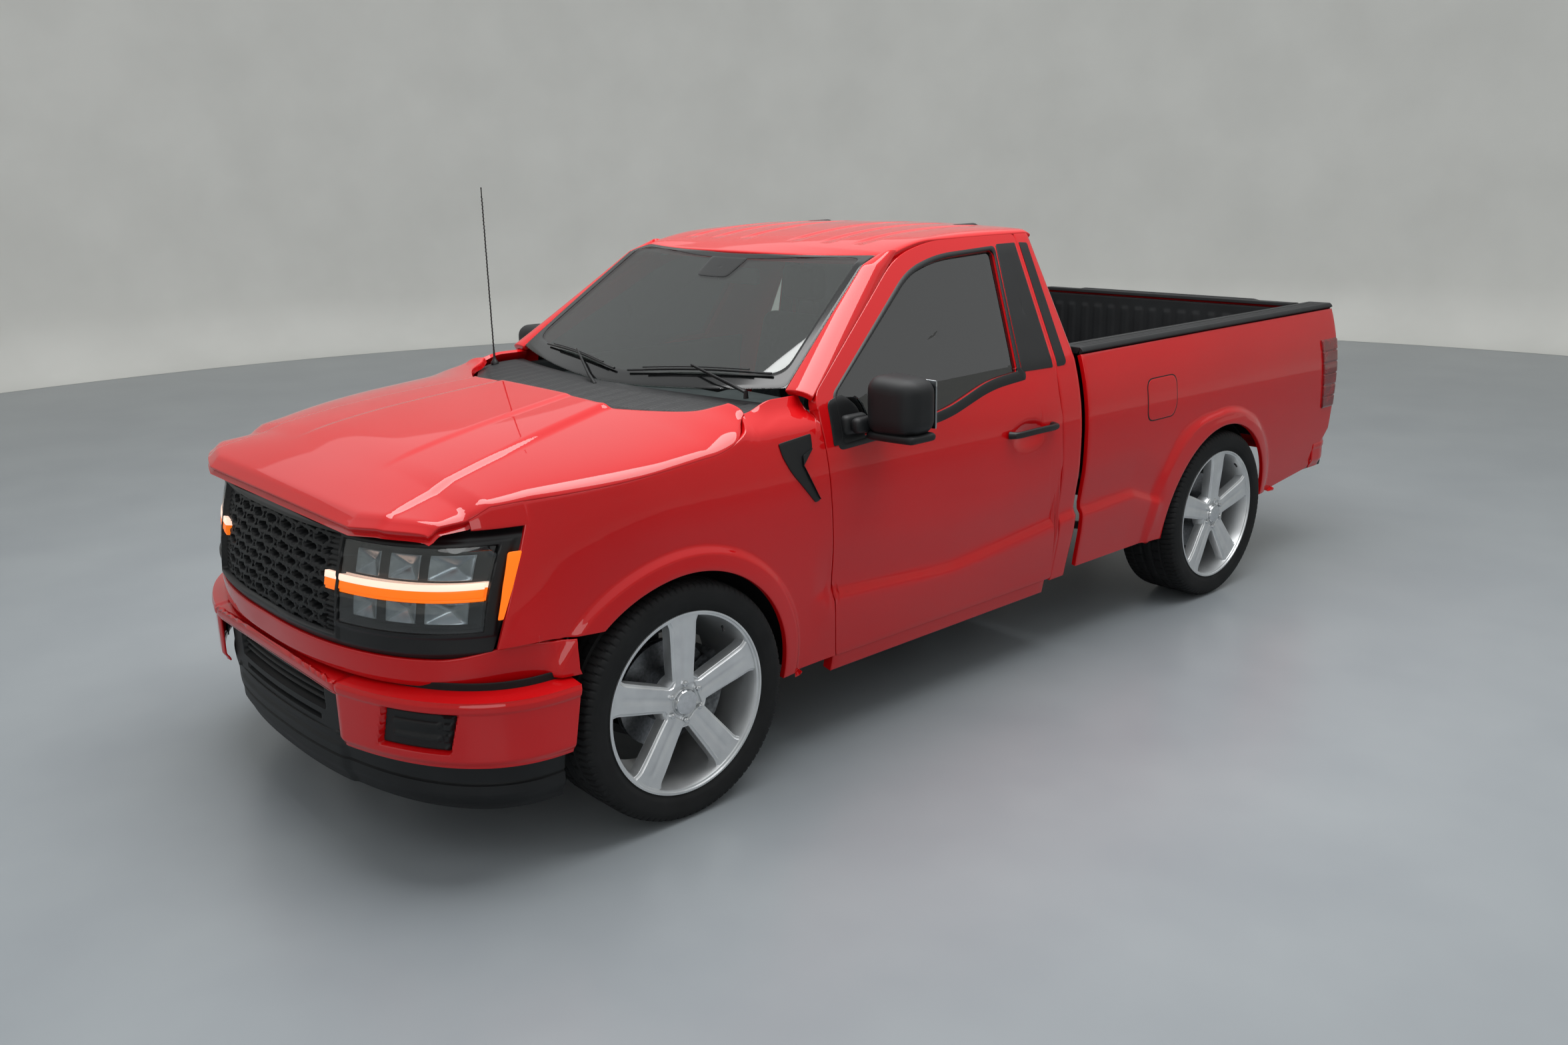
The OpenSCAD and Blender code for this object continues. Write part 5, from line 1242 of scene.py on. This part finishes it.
# ---- Cabin ---------------------------------------------------------------
# Two foam seats in woven cloth, a grained dash, a steering wheel and a moulded carpet, all
# seen through dark glass. The seat pads are modelled as they lie, sewn in channels.
carpet, tree, shader = finish("looped_black_carpet", {"Roughness": 0.95,
                                                     "Specular IOR Level": 0.15})
mottle(tree, shader, 40, "#141516", "#1f2022")
grain(tree, shader, 3, 0.6)
x, y = np.meshgrid(np.linspace(-900, 900, 90), np.linspace(door_front + 10, cab_back - 12, 70),
                   indexing="ij")
tunnel = 125 * step(np.abs(x), 215, 160)
floor_z = 500 + tunnel + 60 * step(y, door_front + 200, door_front + 20)
floor_pan = panel(np.stack([x, y, floor_z], -1), 30, (0, 0, 1), 4, straight=True)
x, z = np.meshgrid(np.linspace(-860, 860, 60), np.linspace(500, 1222, 40), indexing="ij")
firewall = panel(np.stack([x, door_front - 22 - 130 * (1 - (x / 860) ** 2) + 0 * z, z], -1), 16,
                 (0, 1, 0), 4)
piece("cab_floor_and_firewall", [floor_pan, firewall], carpet, "truck")
liner_grid = between([window_back, rim_back * [0.97, 1.0]], [12])
rear_trim = np.stack([liner_grid[..., 0], cab_back - 58 + 0 * liner_grid[..., 0],
                      liner_grid[..., 1]], -1)
s, t = np.meshgrid(np.linspace(-0.97, 0.97, 60), np.linspace(0.02, 0.97, 40), indexing="ij")
lining_y = shield_top + 110 + (cab_back - 60 - shield_top - 110) * t
lining_z = roof_line(lining_y) - 46 - 34 * np.abs(s) ** 4
lining = np.stack([s * 668, lining_y, lining_z], -1)
cloth_lining, tree, shader = finish("felted_roof_lining", {"Roughness": 0.95})
mottle(tree, shader, 50, "#aeb0b0", "#b9bbbb")
grain(tree, shader, 1.5, 0.1)
piece("roof_lining", [panel(lining, 8, (0, 0, -1), 2)], cloth_lining)
piece("rear_cabin_trim", [panel(rear_trim, 8, (0, -1, 0), 2, wrap=True)], trim_plastic)

cloth, tree, shader = finish("woven_charcoal_seat_cloth", {"Roughness": 0.9,
                                                          "Sheen Weight": 0.25})
mottle(tree, shader, 14, "#3f4246", "#505459", 6)
grain(tree, shader, 2.2, 0.25, "TexVoronoi")


def cushion(low, high, radius, bolster, seams, axis=2):
    """Stuffed pad: a rounded block whose sides swell along `axis` and whose middle is drawn
    in along sewn seams, each 9 mm deep."""
    points, faces = rounded_box(low, high, radius, 26)
    middle, half = (np.array(low) + high) / 2, (np.array(high, float) - low) / 2
    u = (points - middle) / half
    along = 3 - axis
    top = step(u[:, axis], 0.2, 0.9)
    swell = bolster * step(np.abs(u[:, 0]), 0.5, 0.85) + 8 * (1 - u[:, along] ** 2)
    line = np.minimum(1, sum(step(np.abs(points[:, along] - s0), 13, 2) for s0 in seams)
                      * (np.abs(u[:, 0]) < 0.6) + step(np.abs(np.abs(u[:, 0]) - 0.6), 0.05, 0.01))
    points = points.copy()
    points[:, axis] += top * (swell - 9 * line)
    return points, faces


def tipped(part, centre, degrees):
    """Turns a part about a line along X through centre (y, z)."""
    points, faces = part
    a = math.radians(degrees)
    y, z = points[:, 1] - centre[0], points[:, 2] - centre[1]
    turned = np.stack([points[:, 0], centre[0] + y * math.cos(a) - z * math.sin(a),
                       centre[1] + y * math.sin(a) + z * math.cos(a)], -1)
    return turned, faces


seat_y = door_front + 520
for side, sign in (("left", 1), ("right", -1)):
    x0, x1 = sorted((sign * 150, sign * 620))
    pad = cushion((x0, seat_y, 640), (x1, seat_y + 505, 790), 55, 16,
                  (seat_y + 170, seat_y + 320))
    rest = cushion((x0 + 8, -545, 0), (x1 - 8, 20, 118), 50, 14, (-410, -270, -130))
    points, faces = rest
    rest = np.stack([points[:, 0], seat_y + 600 - points[:, 2], 815 - points[:, 1]], -1), \
        faces[:, ::-1]
    rest = tipped(rest, (seat_y + 525, 815), -14)
    head = rounded_box((sign * 385 - 122, 44, 1402), (sign * 385 + 122, 128, 1560), 38, 14)
    stalks = [tube([(sign * 385 + dx, 92, 1330), (sign * 385 + dx, 88, 1410)], 6, 8)
              for dx in (-55, 55)]
    for name, part, fill in (("cushion", pad, 0.85), ("backrest", rest, 0.8),
                             ("headrest", head, 0.9)):
        made = piece(f"{side}_seat_{name}", [part], cloth, "truck",
                     ["seats"] if (side, name) == ("left", "cushion") else (), crease=70)
    plinth = rounded_box((sign * 385 - 180, seat_y + 10, 500), (sign * 385 + 180, seat_y + 430,
                                                               645), 18, 6)
    piece(side + "_seat_base", [plinth] + stalks, trim_plastic)
console = rounded_box((-110, seat_y - 120, 600), (110, seat_y + 420, 800), 30, 10)

x = np.linspace(-828, 828, 120)[:, None]
section = outline([(-1056, 1150, 20), (-860, 1166, 60), (-768, 1118, 26), (-762, 1010, 20),
                   (-790, 880, 20), (-800, 802, 20), (-1056, 882, 10)],
                  [10, 6, 6, 6, 6, 10, 8])
hood_bump = 26 * step(np.abs(x - 372), 190, 120) * step(section[:, 1], 1090, 1150)
crown = 10 * (x / 830) ** 2
dash = np.stack([x + 0 * section[:, 0], section[:, 0] + 0 * x,
                 section[:, 1] - crown + hood_bump], -1)
ends = [np.broadcast_to(dash[k].mean(0), dash[k].shape)[None] for k in (0, -1)]
dash = np.concatenate([ends[0], dash, ends[1]])
dash_part = outward(dash.reshape(-1, 3), grid_faces(122, dash.shape[1], False, True))
piece("dash_moulding", [dash_part, console], trim_plastic, "truck",
      ["dashboard"])
screen, tree, shader = finish("blank_black_display_glass", {"Roughness": 0.06})
mottle(tree, shader, 60, "#050608", "#0a0c10")
piece("blank_displays", [rounded_box((-130, -764, 985), (130, -752, 1130), 6, 6),
                         rounded_box((262, -766, 1060), (482, -754, 1150), 6, 6)], screen)
leather, tree, shader = finish("stitched_black_leather", {"Roughness": 0.5})
mottle(tree, shader, 30, "#131416", "#1c1d20")
grain(tree, shader, 1.4, 0.08, "TexVoronoi")
hub_place = np.array([372.0, -560.0, 1085.0])
tilt = math.radians(-66)
across, over = np.array([1, 0, 0.0]), np.array([0, math.cos(tilt), math.sin(tilt)])
stem = np.cross(across, over)
turn = np.linspace(0, 2 * np.pi, 97)[:-1]
circle = hub_place + 180 * (np.cos(turn)[:, None] * across + np.sin(turn)[:, None] * over)
a = np.linspace(0, 2 * np.pi, 14, endpoint=False)
out_dir = unit(circle - hub_place)
rim_grid = circle[:, None] + 15 * (np.cos(a)[None, :, None] * out_dir[:, None]
                                   + np.sin(a)[None, :, None] * stem)
rim_part = outward(rim_grid.reshape(-1, 3), grid_faces(96, 14, True, True))
stem = stem * np.sign(stem[1])
arms = [tube([hub_place + out * 30 - stem * 6, hub_place + out * 100 - stem * 4,
              hub_place + out * 172], [17, 13, 11], 10, 0.7)
        for out in (across, -across, over * np.sign(over[2]) * -1)]
boss = tube([hub_place - stem * 20, hub_place - stem * 12, hub_place + stem * 4,
             hub_place + stem * 18], [40, 58, 60, 50], 40)
piece("stitched_steering_wheel", [rim_part, boss] + arms, leather, "steering_wheel",
      ["steering_wheel"])
piece("steering_column_cover", [rounded_box((330, -800, 940), (414, -640, 1030), 22, 6)],
      trim_plastic)
piece("rear_view_mirror", [rounded_box((-118, -640, 1548), (118, -612, 1612), 13, 8),
                           tube([(0, -636, 1600), (0, -650, 1660)], 10, 8)], trim_plastic)

# ---- Chassis -------------------------------------------------------------
# The welded frame, axles and arms are painted black, knuckles and driveline are bare cast
# and forged iron, the exhaust is stainless, and the tank and wheel liners are black plastic.
chassis, tree, shader = finish("black_chassis_paint_on_steel", {"Roughness": 0.5})
mottle(tree, shader, 110, "#141516", "#242526")
grain(tree, shader, 4, 0.15)
forged, tree, shader = finish("sand_cast_and_forged_iron", {"Metallic": 1.0, "Roughness": 0.55})
mottle(tree, shader, 25, "#55575a", "#8d9093")
grain(tree, shader, 1.6, 0.12)
stainless, tree, shader = finish("drawn_stainless_exhaust_tube", {"Metallic": 1.0,
                                                                 "Roughness": 0.32})
mottle(tree, shader, 140, "#8b857c", "#a8a6a2")
grain(tree, shader, 2, 0.02)
for material, names in ((chassis, ("frame", "rear_axle", "front_suspension")),
                        (forged, ("engine", "driveline", "left_knuckle", "right_knuckle")),
                        (stainless, ("exhaust",)), (rubber, ("spare_wheel",)),
                        (grained_black, ("fuel_tank", "wheel_liners", "bed"))):
    for name in names:
        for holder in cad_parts[name].material_slots:
            holder.material = material


# ---- Floor and light -----------------------------------------------------
# A pale floor that curves up into a low round wall, under one broad soft ceiling light.
floor_mat, tree, shader = finish("grey_sealed_floor", {"Roughness": 0.3,
                                                     "Specular IOR Level": 0.5})
mottle(tree, shader, 700, "#8a9095", "#92989c")
grain(tree, shader, 18, 0.03)
wall_mat, tree, shader = finish("pale_plastered_wall", {"Roughness": 0.9})
mottle(tree, shader, 900, "#dcdcd8", "#e4e4e0")
turn = np.linspace(0, 2 * np.pi, 160, endpoint=False)[:, None]
bend = np.linspace(0, np.pi / 2, 10)
for name, radius, height, material in (
        ("studio_floor", np.linspace(0.02, 10.5, 40), np.zeros(40), floor_mat),
        ("studio_wall", np.concatenate([10.45 + 0.6 * np.sin(bend), [11.05]]),
         np.concatenate([0.6 - 0.6 * np.cos(bend), [5.4]]) + 0.002, wall_mat)):
    stage = np.stack([radius * np.cos(turn), radius * np.sin(turn), height + 0 * turn], -1)
    mesh = bpy.data.meshes.new(name)
    mesh.from_pydata(stage.reshape(-1, 3).tolist(), [],
                     grid_faces(160, len(radius), True).tolist())
    mesh.polygons.foreach_set("use_smooth", np.ones(len(mesh.polygons), bool))
    mesh.materials.append(material)
    floor = bpy.data.objects.new(name, mesh)
    bpy.context.scene.collection.objects.link(floor)

for name, place, size, power, aim in (
        ("ceiling_light", (0.4, -0.6, 5.2), (7.0, 4.0), 330, (0, 0, 0)),
        ("front_fill", (5.5, -7.5, 3.2), (5.0, 2.5), 60, (0, -1.5, 0.6))):
    lamp = bpy.data.lights.new(name, "AREA")
    lamp.shape, lamp.size, lamp.size_y, lamp.energy = "ELLIPSE", *size, power
    holder = bpy.data.objects.new(name, lamp)
    holder.location = place
    look = np.array(aim, float) - np.array(place, float)
    turn_to = Vector(look.tolist()).to_track_quat("-Z", "Y")
    holder.rotation_mode = "QUATERNION"
    holder.rotation_quaternion = turn_to
    bpy.context.scene.collection.objects.link(holder)

world = bpy.data.worlds.new("studio")
world.use_nodes = True
world.node_tree.nodes["Background"].inputs["Color"].default_value = linear("#e4e6e6")
world.node_tree.nodes["Background"].inputs["Strength"].default_value = 0.85
bpy.context.scene.world = world
bpy.context.scene.view_settings.view_transform = "Standard"
